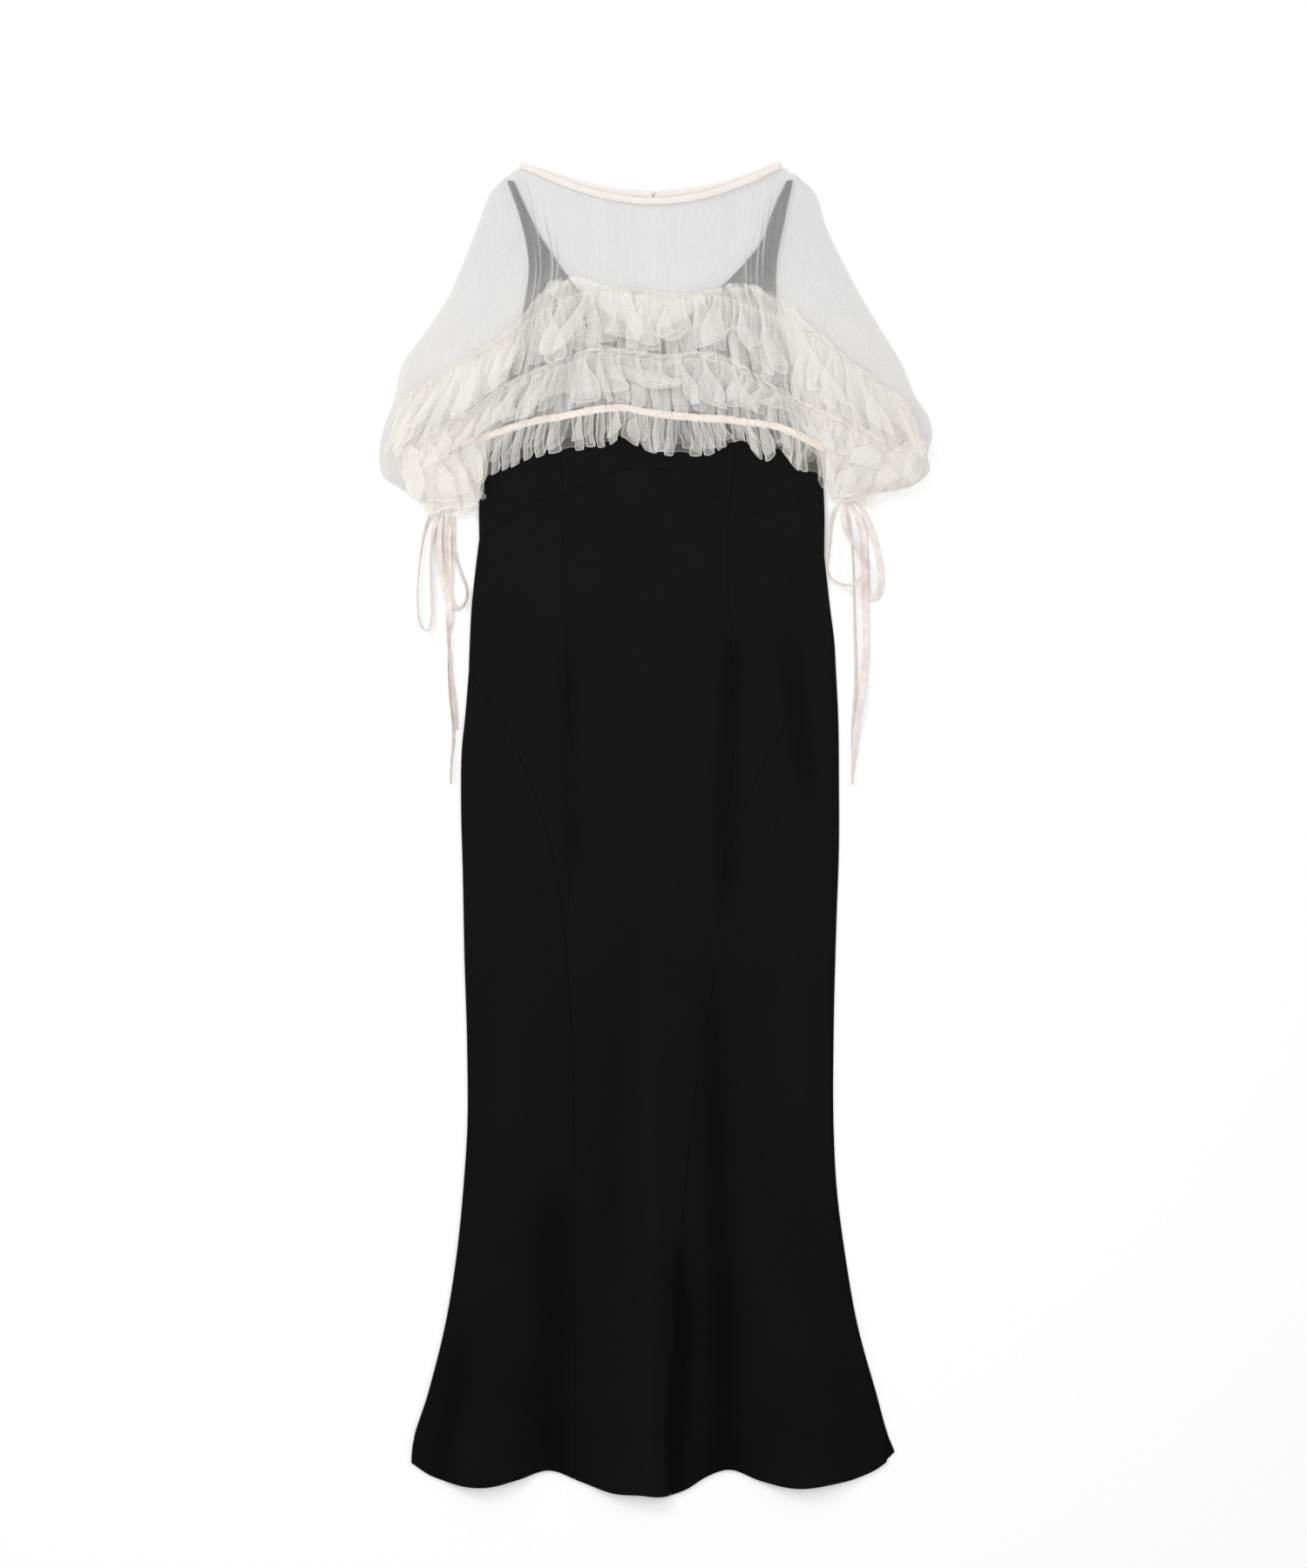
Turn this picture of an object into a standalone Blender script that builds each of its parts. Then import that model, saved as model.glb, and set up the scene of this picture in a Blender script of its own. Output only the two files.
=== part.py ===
"""A tulle dress laid flat, face up: a long black crepe sheath under a gathered ivory tulle top
with wide sleeves, three ruffle tiers and ribbon ties at the cuffs.

The tables are in millimetres on the laid-out dress. "across" runs to the right from the middle
of the neckline, "down" runs from the shoulder seams to the hem, and heights are above the floor.
"left" and "right" are as seen from above.
"""

import bmesh
import bpy
import numpy as np

MM = 0.001

# Walls and gaps
CREPE = 1.2
TULLE = 1.0
RUFFLE = 1.3
TAPE = 1.2
BINDING = 2.0
RIBBON = 1.0
GAP = 0.3
STEEPEST = 2.0

# The stack under the top, from the floor up
BACK_CREPE_HEIGHT = TULLE + GAP
FRONT_CREPE_RISE = CREPE + GAP
FRONT_TULLE_HEIGHT = BACK_CREPE_HEIGHT + 2 * FRONT_CREPE_RISE
LEVEL = FRONT_TULLE_HEIGHT + TULLE
SLEEVE_FOLD_HEIGHT = 2 * TULLE + GAP

# Where the sheath comes down to the floor, below the tulle's back hem
DROP_FROM = 310.0
DROP_TO = 570.0

# Widths of the narrow pieces
BINDING_WIDTH = 8.0
BINDING_EASE = 0.45
TAPE_WIDTH = 9.0
TAPE_CLEAR = 0.4
TULLE_UNDER_TAPE = 4.0
TAPE_STEPS = 36
RIBBON_WIDTH = 7.0

# Middle of the laid-out dress, which is the part's own origin
MIDDLE_ACROSS = 2.5
MIDDLE_DOWN = 751.5

# How many gathers and ruffle waves each piece has
YOKE_GATHERS = 12
SLEEVE_GATHERS = 7
TOP_WAVES = 38
MIDDLE_WAVES = 34
HEM_WAVES = 40
CUFF_WAVES = 9

# One pleat: the heights of its trough, crest and falling side
PLEAT = (0.0, 1.0, 0.35)

# How much pleats differ, and how far apart in their turn the widths and heights of neighbours are
UNEVEN = 0.28
WIDTH_TURN = 2.4
HEIGHT_TURN = 1.7
LEAN_TURN = 1.3
YOKE_GATHER_HEIGHT = 1.6
SLEEVE_GATHER_HEIGHT = 2.0
GATHER_FADE = 45.0
GATHER_CLEAR = 4.0
SLEEVE_HEAD = (5.0, 40.0)
RUFFLE_LEAN = 2.0

# Divisions of the panels
PRINCESS_ROWS = 7
FLARE_ROWS = 10
BODICE_ROWS = 8
ARMHOLE_ROWS = 8
CENTRE_COLUMNS = 10
SIDE_COLUMNS = 8
BACK_COLUMNS = 5
TULLE_BACK_COLUMNS = 8
BINDING_STEPS = 24

# Armhole seams between the tulle front and the sleeves: across, down
ARMHOLE_LEFT = [
    (-169, 6), (-153, 55), (-143, 110), (-147, 152), (-160, 200), (-175, 250), (-190, 300), (-200, 330),
]
ARMHOLE_RIGHT = [
    (161, 4), (151, 51), (141, 108), (142, 152), (155, 200), (170, 250), (185, 300), (194, 330),
]
UNDERARM_LEFT = [(-200, 330), (-199, 357)]
UNDERARM_RIGHT = [(194, 330), (199, 360)]

# Outer folds of the sleeves, shoulder to cuff: across, down
SLEEVE_FOLD_LEFT = [
    (-175, 3), (-186, 20), (-202, 60), (-218, 100), (-235, 140), (-261, 180), (-289, 220),
    (-298, 260), (-312, 300), (-315, 325), (-310, 348), (-292, 360), (-267, 378),
]
SLEEVE_FOLD_RIGHT = [
    (167, 1), (184, 20), (198, 60), (217, 100), (238, 140), (262, 180), (286, 220), (301, 256),
    (317, 282), (320, 302), (314, 321), (317, 340), (300, 356), (252, 367),
]
SLEEVE_ROWS = 14

# Drawn-in ends of the sleeves: across, down
CUFF_LEFT = [(-267, 378), (-237, 375), (-217, 367), (-199, 357)]
CUFF_RIGHT = [(199, 360), (212, 367), (230, 369), (252, 367)]

# How far the sleeves puff above their folds: down, height
PUFF = [(0, 1), (60, 4), (150, 8), (250, 13), (305, 18), (345, 13), (362, 7), (380, 4)]

# Neck edges, left to right: across, down
NECK_FRONT = [
    (-152, -14), (-138, -9), (-118, 0), (-90, 11), (-55, 21), (-25, 26), (0, 27.5), (25, 26), (55, 21),
    (88, 11), (116, 0), (134, -9), (143, -14),
]
NECK_BACK_LEFT = [(-152, -14), (-118, -3), (-55, 14), (0, 20)]
NECK_BACK_RIGHT = [(0, 20), (55, 14), (116, -3), (143, -14)]

# Neck edges of the sheath under the tulle, strap to middle: across, down
STRAP_LEFT = [(-161, 8), (-152, 27), (-144, 44), (-132, 68), (-117, 91), (-103, 112)]
STRAP_RIGHT = [(153, 8), (139, 37), (121, 82), (105, 102), (86, 122)]
PLUNGE = [(-103, 112), (-60, 155), (-20, 175), (0, 178), (20, 174), (50, 155), (86, 122)]
SHEATH_SIDE_LEFT = [
    (-168, 8), (-153, 51), (-143, 108), (-148, 148), (-171, 249), (-196, 340), (-200, 380), (-200, 419),
]
SHEATH_SIDE_RIGHT = [
    (160, 7), (151, 51), (141, 108), (142, 152), (168, 249), (192, 330), (196, 380), (196, 438),
]

# Waist seam of the front: across, down
WAIST = [
    (-200, 419), (-170, 398), (-128, 374), (-103, 367), (-79, 358), (-45, 343), (-21, 337), (4, 338),
    (29, 347), (58, 365), (83, 376), (120, 389), (153, 404), (178, 420), (196, 438),
]
PRINCESS_WAIST_LEFT = -104
PRINCESS_WAIST_RIGHT = 88

# Seams of the sheath, top to bottom: across, down
BODICE_PRINCESS_LEFT = [(-103, 112), (-104, 220), (-106, 325)]
BODICE_PRINCESS_RIGHT = [(86, 122), (90, 220), (93, 325)]
PRINCESS_LEFT = [(-103, 445), (-101, 511), (-98, 590), (-95, 652), (-92, 693), (-95, 780), (-100, 885)]
PRINCESS_RIGHT = [(85, 416), (85, 466), (88, 511), (90, 569), (92, 631), (90, 693), (85, 735), (81, 805)]
HIP_LEFT = [
    (-212, 571), (-186, 611), (-161, 652), (-141, 697), (-124, 747), (-114, 788), (-107, 830), (-100, 885),
]
HIP_RIGHT = [(81, 805), (91, 768), (103, 731), (124, 681), (145, 644), (165, 604), (186, 582), (205, 561)]
FLARE_SEAM_LEFT = [(-100, 885), (-94, 990), (-91, 1100), (-91, 1232), (-90, 1364)]
FLARE_SEAM_RIGHT = [
    (81, 805), (72, 879), (64, 959), (52, 1021), (44, 1091), (38, 1153), (31, 1232), (27, 1320), (21, 1386),
]
FLARE_HEM_LEFT = -90
FLARE_HEM_RIGHT = 19

# Sides of the skirt, top to bottom: across, down
HIP_SIDE_LEFT = [(-200, 419), (-205, 460), (-209, 500), (-211, 540), (-212, 571)]
HIP_SIDE_RIGHT = [(196, 438), (200, 490), (204, 530), (205, 561)]
FLARE_SIDE_LEFT = [
    (-212, 571), (-216, 620), (-220, 660), (-221, 720), (-219, 800), (-217, 900), (-214, 1000),
    (-214, 1100), (-218, 1160), (-226, 1240), (-239, 1320), (-259, 1400), (-277, 1462),
]
FLARE_SIDE_RIGHT = [
    (205, 561), (206, 660), (206, 720), (205, 880), (203, 1012), (204, 1100), (209, 1188),
    (220, 1260), (236, 1335), (252, 1400), (265, 1450),
]
HIP_BACK_RIGHT = [(196, 438), (203, 500), (208, 540), (209, 561)]
FLARE_BACK_RIGHT = [
    (209, 561), (212, 620), (213, 700), (213, 770), (210, 860), (207, 980), (207, 1100), (210, 1160),
    (220, 1240), (234, 1320), (256, 1400), (272, 1455),
]

# Hem: across, down
HEM = [
    (-278, 1479), (-257, 1493), (-239, 1500), (-191, 1506), (-155, 1498), (-119, 1488), (-83, 1501),
    (-47, 1513), (-15, 1514.5), (19, 1516), (37, 1510), (61, 1495), (85, 1487), (121, 1499), (163, 1507),
    (205, 1503), (235, 1496), (265, 1480), (277, 1468),
]
FRONT_HEM_END = 268
BACK_HEM_SHORTER = 1.5

# Middle of the back's neck edge and waist: across, down
BACK_NECK = (0, 178)
BACK_WAIST = (0, 424)

# Folds of the skirt's front: top across, top down, foot across, foot down, width on the left,
# width on the right, height at the top, height at the foot
SKIRT_FOLDS = [
    (-188, 1040, -200, 1520, 62, 85, 0.0, 11.0),
    (6, 880, -8, 1520, 85, 52, 0.0, 13.0),
    (128, 1040, 172, 1520, 70, 80, 0.0, 12.0),
    (-4, 470, -4, 800, 76, 76, 1.5, 1.5),
    (-150, 500, -148, 720, 40, 38, 1.2, 1.2),
    (140, 500, 168, 740, 34, 36, 1.2, 1.2),
]
FOLD_FADE = 70.0
FOLD_GROWTH = 1.6
SIDE_FADE = 26.0

# Hems of the tulle under the ruffles, left to right: across, down
TULLE_BACK_HEM = [(-200, 322), (-100, 306), (0, 300), (100, 306), (194, 322)]

# Ruffle tiers, left to right: gather line across, down; free edge across, down; header above the line
TOP_TIER = [
    (-295, 270, -303, 328, 7), (-249, 241, -265, 303, 7), (-197, 210, -212, 272, 8),
    (-166, 192, -180, 246, 10), (-136, 164, -146, 229, 17), (-96, 144, -98, 212, 14),
    (-56, 134, -58, 202, 5), (-19, 138, -20, 204, 4), (17, 143, 18, 209, 4), (66, 140, 70, 207, 5),
    (109, 153, 118, 229, 20), (152, 171, 163, 251, 16), (190, 195, 205, 278, 9),
    (235, 230, 253, 300, 7), (298, 274, 307, 319, 6),
]
MIDDLE_TIER = [
    (-270, 310, -284, 350, 6), (-210, 280, -221, 322, 8), (-171, 250, -183, 290, 8),
    (-139, 234, -146, 282, 8), (-98, 219, -100, 270, 8), (-70, 209, -70, 264, 8),
    (-24, 212, -23, 265, 8), (10, 217, 10, 269, 8), (50, 213, 52, 273, 8), (91, 222, 93, 275, 8),
    (120, 241, 124, 280, 8), (151, 258, 156, 290, 8), (210, 290, 212, 330, 8), (280, 320, 285, 350, 6),
]
HEM_TIER = [
    (-220, 315, -211, 356, 0), (-179, 299, -184, 349, 0), (-132, 285, -138, 329, 0),
    (-108, 281, -114, 324, 0), (-84, 276, -87, 318, 0), (-50, 271, -56, 315, 0),
    (-29, 271, -37, 304, 0), (-15, 274, -20, 315, 0), (10, 278, 7, 321, 0), (50, 282, 56, 326, 0),
    (85, 284, 85, 312, 0), (100, 286, 100, 306, 0), (118, 288, 124, 331, 0), (142, 292, 146, 321, 0),
    (164, 301, 168, 342, 0), (196, 318, 198, 351, 0),
]
CUFF_FRILL_LEFT = [
    (-266, 378.5, -262, 390, 0), (-253, 377.5, -254, 401, 0), (-243, 376.4, -245, 389, 0),
    (-237, 375.6, -237, 378.4, 0), (-230, 373.4, -229, 391, 0), (-217, 367.6, -214, 390, 0),
    (-199.5, 358, -193, 374, 0),
]
CUFF_FRILL_RIGHT = [
    (199.5, 361, 199, 369, 0), (212, 367.6, 206, 377, 0), (222, 369, 220, 378, 0),
    (232, 369.6, 230, 372, 0), (242, 369, 245, 384, 0), (251, 367.8, 252, 372, 0),
]

# Rows of a ruffle: place (-1 header edge, 0 gather line, 1 free edge), height clear of the tulle,
# height of its waves
TIER_ROWS = [(-1, 1.2, 4.0), (0, 0.8, 1.2), (0.5, 4.5, 7.0), (1, 10.5, 9.0)]
HEM_TIER_ROWS = [(0, 0.4, 1.0), (0.5, 0.8, 4.0), (1, 0.8, 6.0)]
CUFF_ROWS = [(0, 4.3, 1.5), (0.5, 4.4, 4.0), (1, 4.4, 6.0)]

# Ribbons of the ties: across, down, height of the underside, tilt in degrees (90 is on edge)
TIES_LEFT = {
    "loop_outer": [
        (-243.8, 380, 0, 0), (-254, 391, 0, 0), (-262, 412, 0, 20), (-267, 440, 0, 40), (-270, 470, 0, 60),
        (-270, 499, 0, 70), (-268.5, 512, 0, 70), (-265, 521, 0, 60), (-260, 524, 0, 40), (-256, 515, 0, 20),
        (-255, 490, 0, 10), (-256, 460, 0, 0), (-255.5, 430, 0, 0), (-250.5, 403, 0, 0), (-242.6, 384.6, 0, 0),
    ],
    "loop_inner": [
        (-230.7, 380, 0, 0), (-229, 401, 0, 0), (-228, 429, 0, 15), (-225, 443, 0, 25), (-219, 461, 0, 10),
        (-214, 475, 0, 30), (-214, 488, 0, 45), (-219, 497, 0, 40), (-226, 499.5, 0, 8), (-232.5, 490, 0, 0),
        (-234, 459, 0, 0), (-235, 420, 0, 0), (-234.5, 384.8, 0, 0),
    ],
    "tail_short": [
        (-240.4, 384.8, 2.6, 0), (-245, 405, 2.6, 0), (-246, 420, 2.6, 0), (-240, 468, 2.6, 0),
        (-234, 498, 2.6, 0), (-233, 516, 2.6, 20), (-235, 530, 2.6, 30), (-234, 545, 2.0, 30),
        (-231, 580, 1.3, 10), (-227, 610, 1.3, 20), (-225.5, 638, 1.3, 35),
    ],
    "tail_long": [
        (-237.4, 384.8, 1.3, 0), (-237.8, 405, 1.3, 0), (-237, 445, 1.3, 0), (-234.5, 500, 1.3, 0),
        (-234.3, 540, 0.2, 0), (-234, 580, 0, 0), (-232.2, 610, 0, 2), (-229.5, 632, 0, 8),
        (-229, 651, 0, 38), (-231, 671, 0, 62), (-232.5, 700, 0, 68),
    ],
}
TIES_RIGHT = {
    "loop_outer": [
        (215.7, 374, 3.0, 0), (206, 392, 7.4, 40), (202.5, 420, 7.4, 60), (200.5, 442, 7.4, 65),
        (199.5, 454, 7.4, 65), (203, 464, 7.4, 65), (211, 470, 7.4, 65), (222, 472.6, 7.4, 65),
        (233, 469, 7.4, 65), (239.5, 460, 7.4, 65), (240, 450, 7.4, 65), (235, 436, 7.4, 65),
        (227, 422, 7.4, 60), (220, 406, 7.4, 50), (217.5, 390, 5.0, 20), (218, 378.8, 3.0, 0),
    ],
    "loop_inner": [
        (231.2, 375.6, 0, 0), (241, 388, 0, 0), (248, 404, 0, 0), (256, 430, 0, 0), (261, 454, 0, 10),
        (261, 475, 0, 20), (256.7, 485.6, 0, 25), (250.5, 487, 0, 2), (246, 478, 0, 0), (245, 462, 0, 0),
        (244, 444, 0, 0), (239, 409, 0, 0), (228.6, 379.9, 0, 0),
    ],
    "tail_short": [
        (221.6, 378.8, 0, 0), (224, 395, 0, 45), (227, 415, 0, 65), (229, 440, 0, 65), (230, 468, 0, 65),
        (231, 510, 0, 60), (232.4, 557, 0, 55), (232.4, 598, 0, 40), (231, 621, 0, 20), (230, 661, 0, 0),
    ],
    "tail_long": [
        (225.0, 379.6, 1.3, 0), (233, 391, 1.3, 0), (239.5, 406, 1.3, 0), (241.8, 421, 1.3, 0),
        (242.4, 446, 1.3, 0), (243, 491, 1.3, 0), (243.7, 538, 1.3, 0), (241.8, 574, 2.0, 0),
        (236.6, 609, 5.2, 0), (232, 640, 3.0, 10), (230.5, 666, 1.3, 30), (229.4, 680, 0.6, 50),
        (228, 701, 0, 70),
    ],
}
RIBBON_PINCH = 1.8
RIBBON_OPENS = 24.0
RIBBON_STEPS = 17

# Knots: across, down, length across, length down, height
KNOT_LEFT = (-237.4, 381.6, 12.0, 5.6, 3.9)
KNOT_RIGHT = (223.2, 375.0, 14.0, 6.8, 3.8)
KNOT_ROUNDING = 1.2
HOOK = (0.0, 23.2, 6.0, 3.0, 0.9)
HOOK_ROUNDING = 0.3

# Linear colour, roughness
CREPE_FINISH = ((0.0082, 0.0082, 0.0086), 0.85)
TULLE_FINISH = ((0.80, 0.79, 0.76), 0.90)
RUFFLE_FINISH = ((0.84, 0.82, 0.76), 0.90)
BINDING_FINISH = ((0.90, 0.80, 0.75), 0.70)
TAPE_FINISH = ((0.93, 0.80, 0.70), 0.70)
RIBBON_FINISH = ((0.74, 0.64, 0.59), 0.45)
METAL_FINISH = ((0.55, 0.52, 0.50), 0.35)


def clear_scene():
    for thing in list(bpy.data.objects):
        bpy.data.objects.remove(thing)


def even(count):
    return np.linspace(0, 1, count + 1)


def ramp(value, start, end):
    """0 at the start, 1 at the end, with soft corners."""
    part = np.clip((value - start) / (end - start), 0, 1)
    return part * part * (3 - 2 * part)


def smooth(knots, values, at):
    """A smooth curve through the values at the knots, read at other places."""
    knots = np.asarray(knots, float)
    values = np.asarray(values, float).reshape(len(knots), -1)
    slopes = np.gradient(values, knots, axis=0)
    flat = np.ravel(at)
    left = np.clip(np.searchsorted(knots, flat, side="right") - 1, 0, len(knots) - 2)
    step = (knots[left + 1] - knots[left])[:, None]
    part = (flat - knots[left])[:, None] / step
    before = (1 + 2 * part) * (1 - part) ** 2 * values[left]
    after = part ** 2 * (3 - 2 * part) * values[left + 1]
    leaving = part * (1 - part) ** 2 * step * slopes[left]
    arriving = part ** 2 * (part - 1) * step * slopes[left + 1]
    return before + after + leaving + arriving


def route(rows, fractions):
    """Points at these fractions of a smooth curve through the rows, whose path is their first two columns."""
    rows = np.array(rows, float)
    steps = np.hypot(*np.diff(rows[:, :2], axis=0).T)
    return smooth(np.append(0, np.cumsum(steps)), rows, np.asarray(fractions) * steps.sum())


def height_at(table, at):
    """Second column of a table against its first, held at the table's ends."""
    table = np.array(table, float)
    at = np.clip(at, table[0, 0], table[-1, 0])
    return smooth(table[:, 0], table[:, 1], at).reshape(np.shape(at))


def across_at(edge, down):
    """How far across an edge lies at each distance down."""
    edge = np.array(edge, float)
    return height_at(edge[:, ::-1], down)


def down_line(table, start, end, count):
    """Points along a seam or hem that is known by its distance down at each place across."""
    across = start + (end - start) * even(count)
    return np.column_stack([across, height_at(table, across)])


def joined(*lines):
    """Lines that follow each other, with the point they share taken once."""
    return np.concatenate([lines[0]] + [line[1:] for line in lines[1:]])


def patch(top, right, bottom, left, across=None, down=None):
    """A grid of points that fills four edges: top and bottom run across, left and right run down."""
    across = even(len(top) - 1) if across is None else across
    down = even(len(left) - 1) if down is None else down
    u = across[None, :, None]
    v = down[:, None, None]
    ruled = (1 - v) * top[None] + v * bottom[None] + (1 - u) * left[:, None] + u * right[:, None]
    first = (1 - u) * top[0] + u * top[-1]
    last = (1 - u) * bottom[0] + u * bottom[-1]
    return ruled - (1 - v) * first - v * last


def drawn_in(grid, amount=GAP / 2):
    """The same grid with its four edges drawn in, so that two panels keep a gap at their seam."""
    moved = grid.copy()
    first, last = (np.s_[0], np.s_[1]), (np.s_[-1], np.s_[-2])
    left, right = (np.s_[:, 0], np.s_[:, 1]), (np.s_[:, -1], np.s_[:, -2])
    for edge, inner in (first, last, left, right):
        along = np.gradient(grid[edge], axis=0)
        normal = np.column_stack([-along[:, 1], along[:, 0]])
        normal /= np.linalg.norm(normal, axis=1, keepdims=True)
        inward = np.sign(((grid[inner] - grid[edge]) * normal).sum(axis=1, keepdims=True))
        moved[edge] += amount * inward * normal
    return moved


def pleats(count, phase):
    """Fractions along a gathered edge, the height of the cloth there, and which pleat each one is in.

    Each pleat has a trough, a crest and a falling side, and its width and height differ from the next.
    """
    order = np.arange(count)
    widths = 1 + UNEVEN * np.sin(WIDTH_TURN * order + phase)
    heights = 1 + UNEVEN * np.sin(HEIGHT_TURN * order + 2 * phase)
    starts = np.cumsum(widths) - widths
    lines = np.arange(len(PLEAT)) / len(PLEAT)
    fractions = (starts[:, None] + widths[:, None] * lines).ravel() / widths.sum()
    rises = (heights[:, None] * np.array(PLEAT)).ravel()
    members = np.repeat(order, len(PLEAT))
    return np.append(fractions, 1), np.append(rises, 0), np.append(members, count)


def upright_part(points):
    """How much taller than its true thickness the wall stands where it slopes."""
    normals = np.cross(np.gradient(points, axis=1), np.gradient(points, axis=0))
    lengths = np.linalg.norm(normals, axis=2)
    return np.clip(lengths / np.maximum(np.abs(normals[:, :, 2]), 1e-9), 1, STEEPEST)


def placed(points):
    """Points of the tables as places in the part's own frame, in metres."""
    points = np.asarray(points, float)
    across = points[..., 0] - MIDDLE_ACROSS
    up = MIDDLE_DOWN - points[..., 1]
    return np.stack([across, up, points[..., 2]], axis=-1) * MM


def add_object(name, mesh, finish, smooth_shading=True):
    """Puts a finished bmesh in the scene as one closed, outward-facing object with its own material."""
    bmesh.ops.recalc_face_normals(mesh, faces=mesh.faces)
    data = bpy.data.meshes.new(name)
    mesh.to_mesh(data)
    mesh.free()
    if smooth_shading:
        data.shade_smooth()
    colour, roughness = finish
    material = bpy.data.materials.new(name)
    material.use_nodes = True
    surface = material.node_tree.nodes["Principled BSDF"]
    surface.inputs["Base Color"].default_value = (*colour, 1)
    surface.inputs["Roughness"].default_value = roughness
    surface.inputs["Metallic"].default_value = 0
    data.materials.append(material)
    thing = bpy.data.objects.new(name, data)
    bpy.context.scene.collection.objects.link(thing)
    return thing


def cloth_wall(name, grid, underside, thickness, finish):
    """A closed wall of cloth over a grid of (across, down) points with its underside at these heights."""
    lower = np.dstack([grid, np.broadcast_to(underside, grid.shape[:2])])
    upper = lower.copy()
    upper[:, :, 2] += thickness * upright_part(lower)
    mesh = bmesh.new()
    low = [[mesh.verts.new(point) for point in row] for row in placed(lower)]
    high = [[mesh.verts.new(point) for point in row] for row in placed(upper)]
    rows, columns = grid.shape[:2]
    for r in range(rows - 1):
        for c in range(columns - 1):
            for face in (high, low):
                mesh.faces.new((face[r][c], face[r + 1][c], face[r + 1][c + 1]))
                mesh.faces.new((face[r][c], face[r + 1][c + 1], face[r][c + 1]))
    rim = [(0, c) for c in range(columns - 1)] + [(r, columns - 1) for r in range(rows - 1)]
    rim += [(rows - 1, c) for c in range(columns - 1, 0, -1)] + [(r, 0) for r in range(rows - 1, 0, -1)]
    for (r, c), (nr, nc) in zip(rim, rim[1:] + rim[:1]):
        mesh.faces.new((high[r][c], high[nr][nc], low[nr][nc], low[r][c]))
    return add_object(name, mesh, finish)


def rounded_block(name, size, underside, rounding, finish):
    """A small block with eased edges: size is across, down, length across, length down, height."""
    across, down, wide, long, tall = size
    mesh = bmesh.new()
    bmesh.ops.create_cube(mesh, size=1)
    bmesh.ops.scale(mesh, verts=mesh.verts, vec=(wide * MM, long * MM, tall * MM))
    block = add_object(name, mesh, finish, smooth_shading=False)
    block.location = placed((across, down, underside + tall / 2))
    bevel = block.modifiers.new("eased edges", "BEVEL")
    bevel.width = rounding * MM
    bevel.segments = 1
    return block


def cape_top(across, down):
    """Height of the tulle's upper face: level on the body and domed over each sleeve."""
    height = np.full(np.shape(across), LEVEL)
    left = (ARMHOLE_LEFT + UNDERARM_LEFT[1:], SLEEVE_FOLD_LEFT)
    right = (ARMHOLE_RIGHT + UNDERARM_RIGHT[1:], SLEEVE_FOLD_RIGHT)
    for armhole, fold in (left, right):
        inner = across_at(armhole, down)
        outer = across_at(fold, down)
        part = np.clip((across - inner) / (outer - inner), 0, 1)
        dome = height_at(PUFF, down) * 4 * part * (1 - part)
        height = height + (SLEEVE_FOLD_HEIGHT - LEVEL) * part + dome
    return height


def gather_fade(across, down):
    """1 on the open tulle and 0 where the top ruffle tier lies on it."""
    tier = np.array(TOP_TIER, float)
    edge = height_at(np.column_stack([tier[:, 0], tier[:, 1] - tier[:, 4]]), across)
    return 1 - ramp(down, edge - GATHER_FADE, edge - GATHER_CLEAR)


def sheath_drop(down):
    """How far the black layers are held off the floor by the tulle under them."""
    return BACK_CREPE_HEIGHT * (1 - ramp(down, DROP_FROM, DROP_TO))


def skirt_folds(grid):
    """Height of the soft folds of the skirt's front, which die away towards its sides."""
    across, down = grid[:, :, 0], grid[:, :, 1]
    height = np.zeros(grid.shape[:2])
    for top, start, foot, end, left, right, top_height, foot_height in SKIRT_FOLDS:
        part = np.clip((down - start) / (end - start), 0, 1)
        offset = across - (top + (foot - top) * part)
        width = np.where(offset < 0, left, right)
        profile = np.cos(np.pi / 2 * np.clip(np.abs(offset) / width, 0, 1)) ** 2
        crest = top_height + (foot_height - top_height) * part ** FOLD_GROWTH
        inside = ramp(down, start, start + FOLD_FADE)
        if foot_height == top_height:
            inside = inside * (1 - ramp(down, end - FOLD_FADE, end))
        height += crest * profile * inside
    left = across_at(joined(HIP_SIDE_LEFT, FLARE_SIDE_LEFT), down)
    right = across_at(joined(HIP_SIDE_RIGHT, FLARE_SIDE_RIGHT), down)
    return height * ramp(across - left, 0, SIDE_FADE) * ramp(right - across, 0, SIDE_FADE)


def sheath_panel(name, grid, front):
    """One panel of the black sheath, on the floor or on the panel under it."""
    grid = drawn_in(grid)
    underside = sheath_drop(grid[:, :, 1])
    if front:
        underside = underside + FRONT_CREPE_RISE + skirt_folds(grid)
    return cloth_wall(name, grid, underside, CREPE, CREPE_FINISH)


def waist_point(across):
    return (across, float(height_at(WAIST, across)))


def hem_point(across):
    return (across, float(height_at(HEM, across)))


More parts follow.
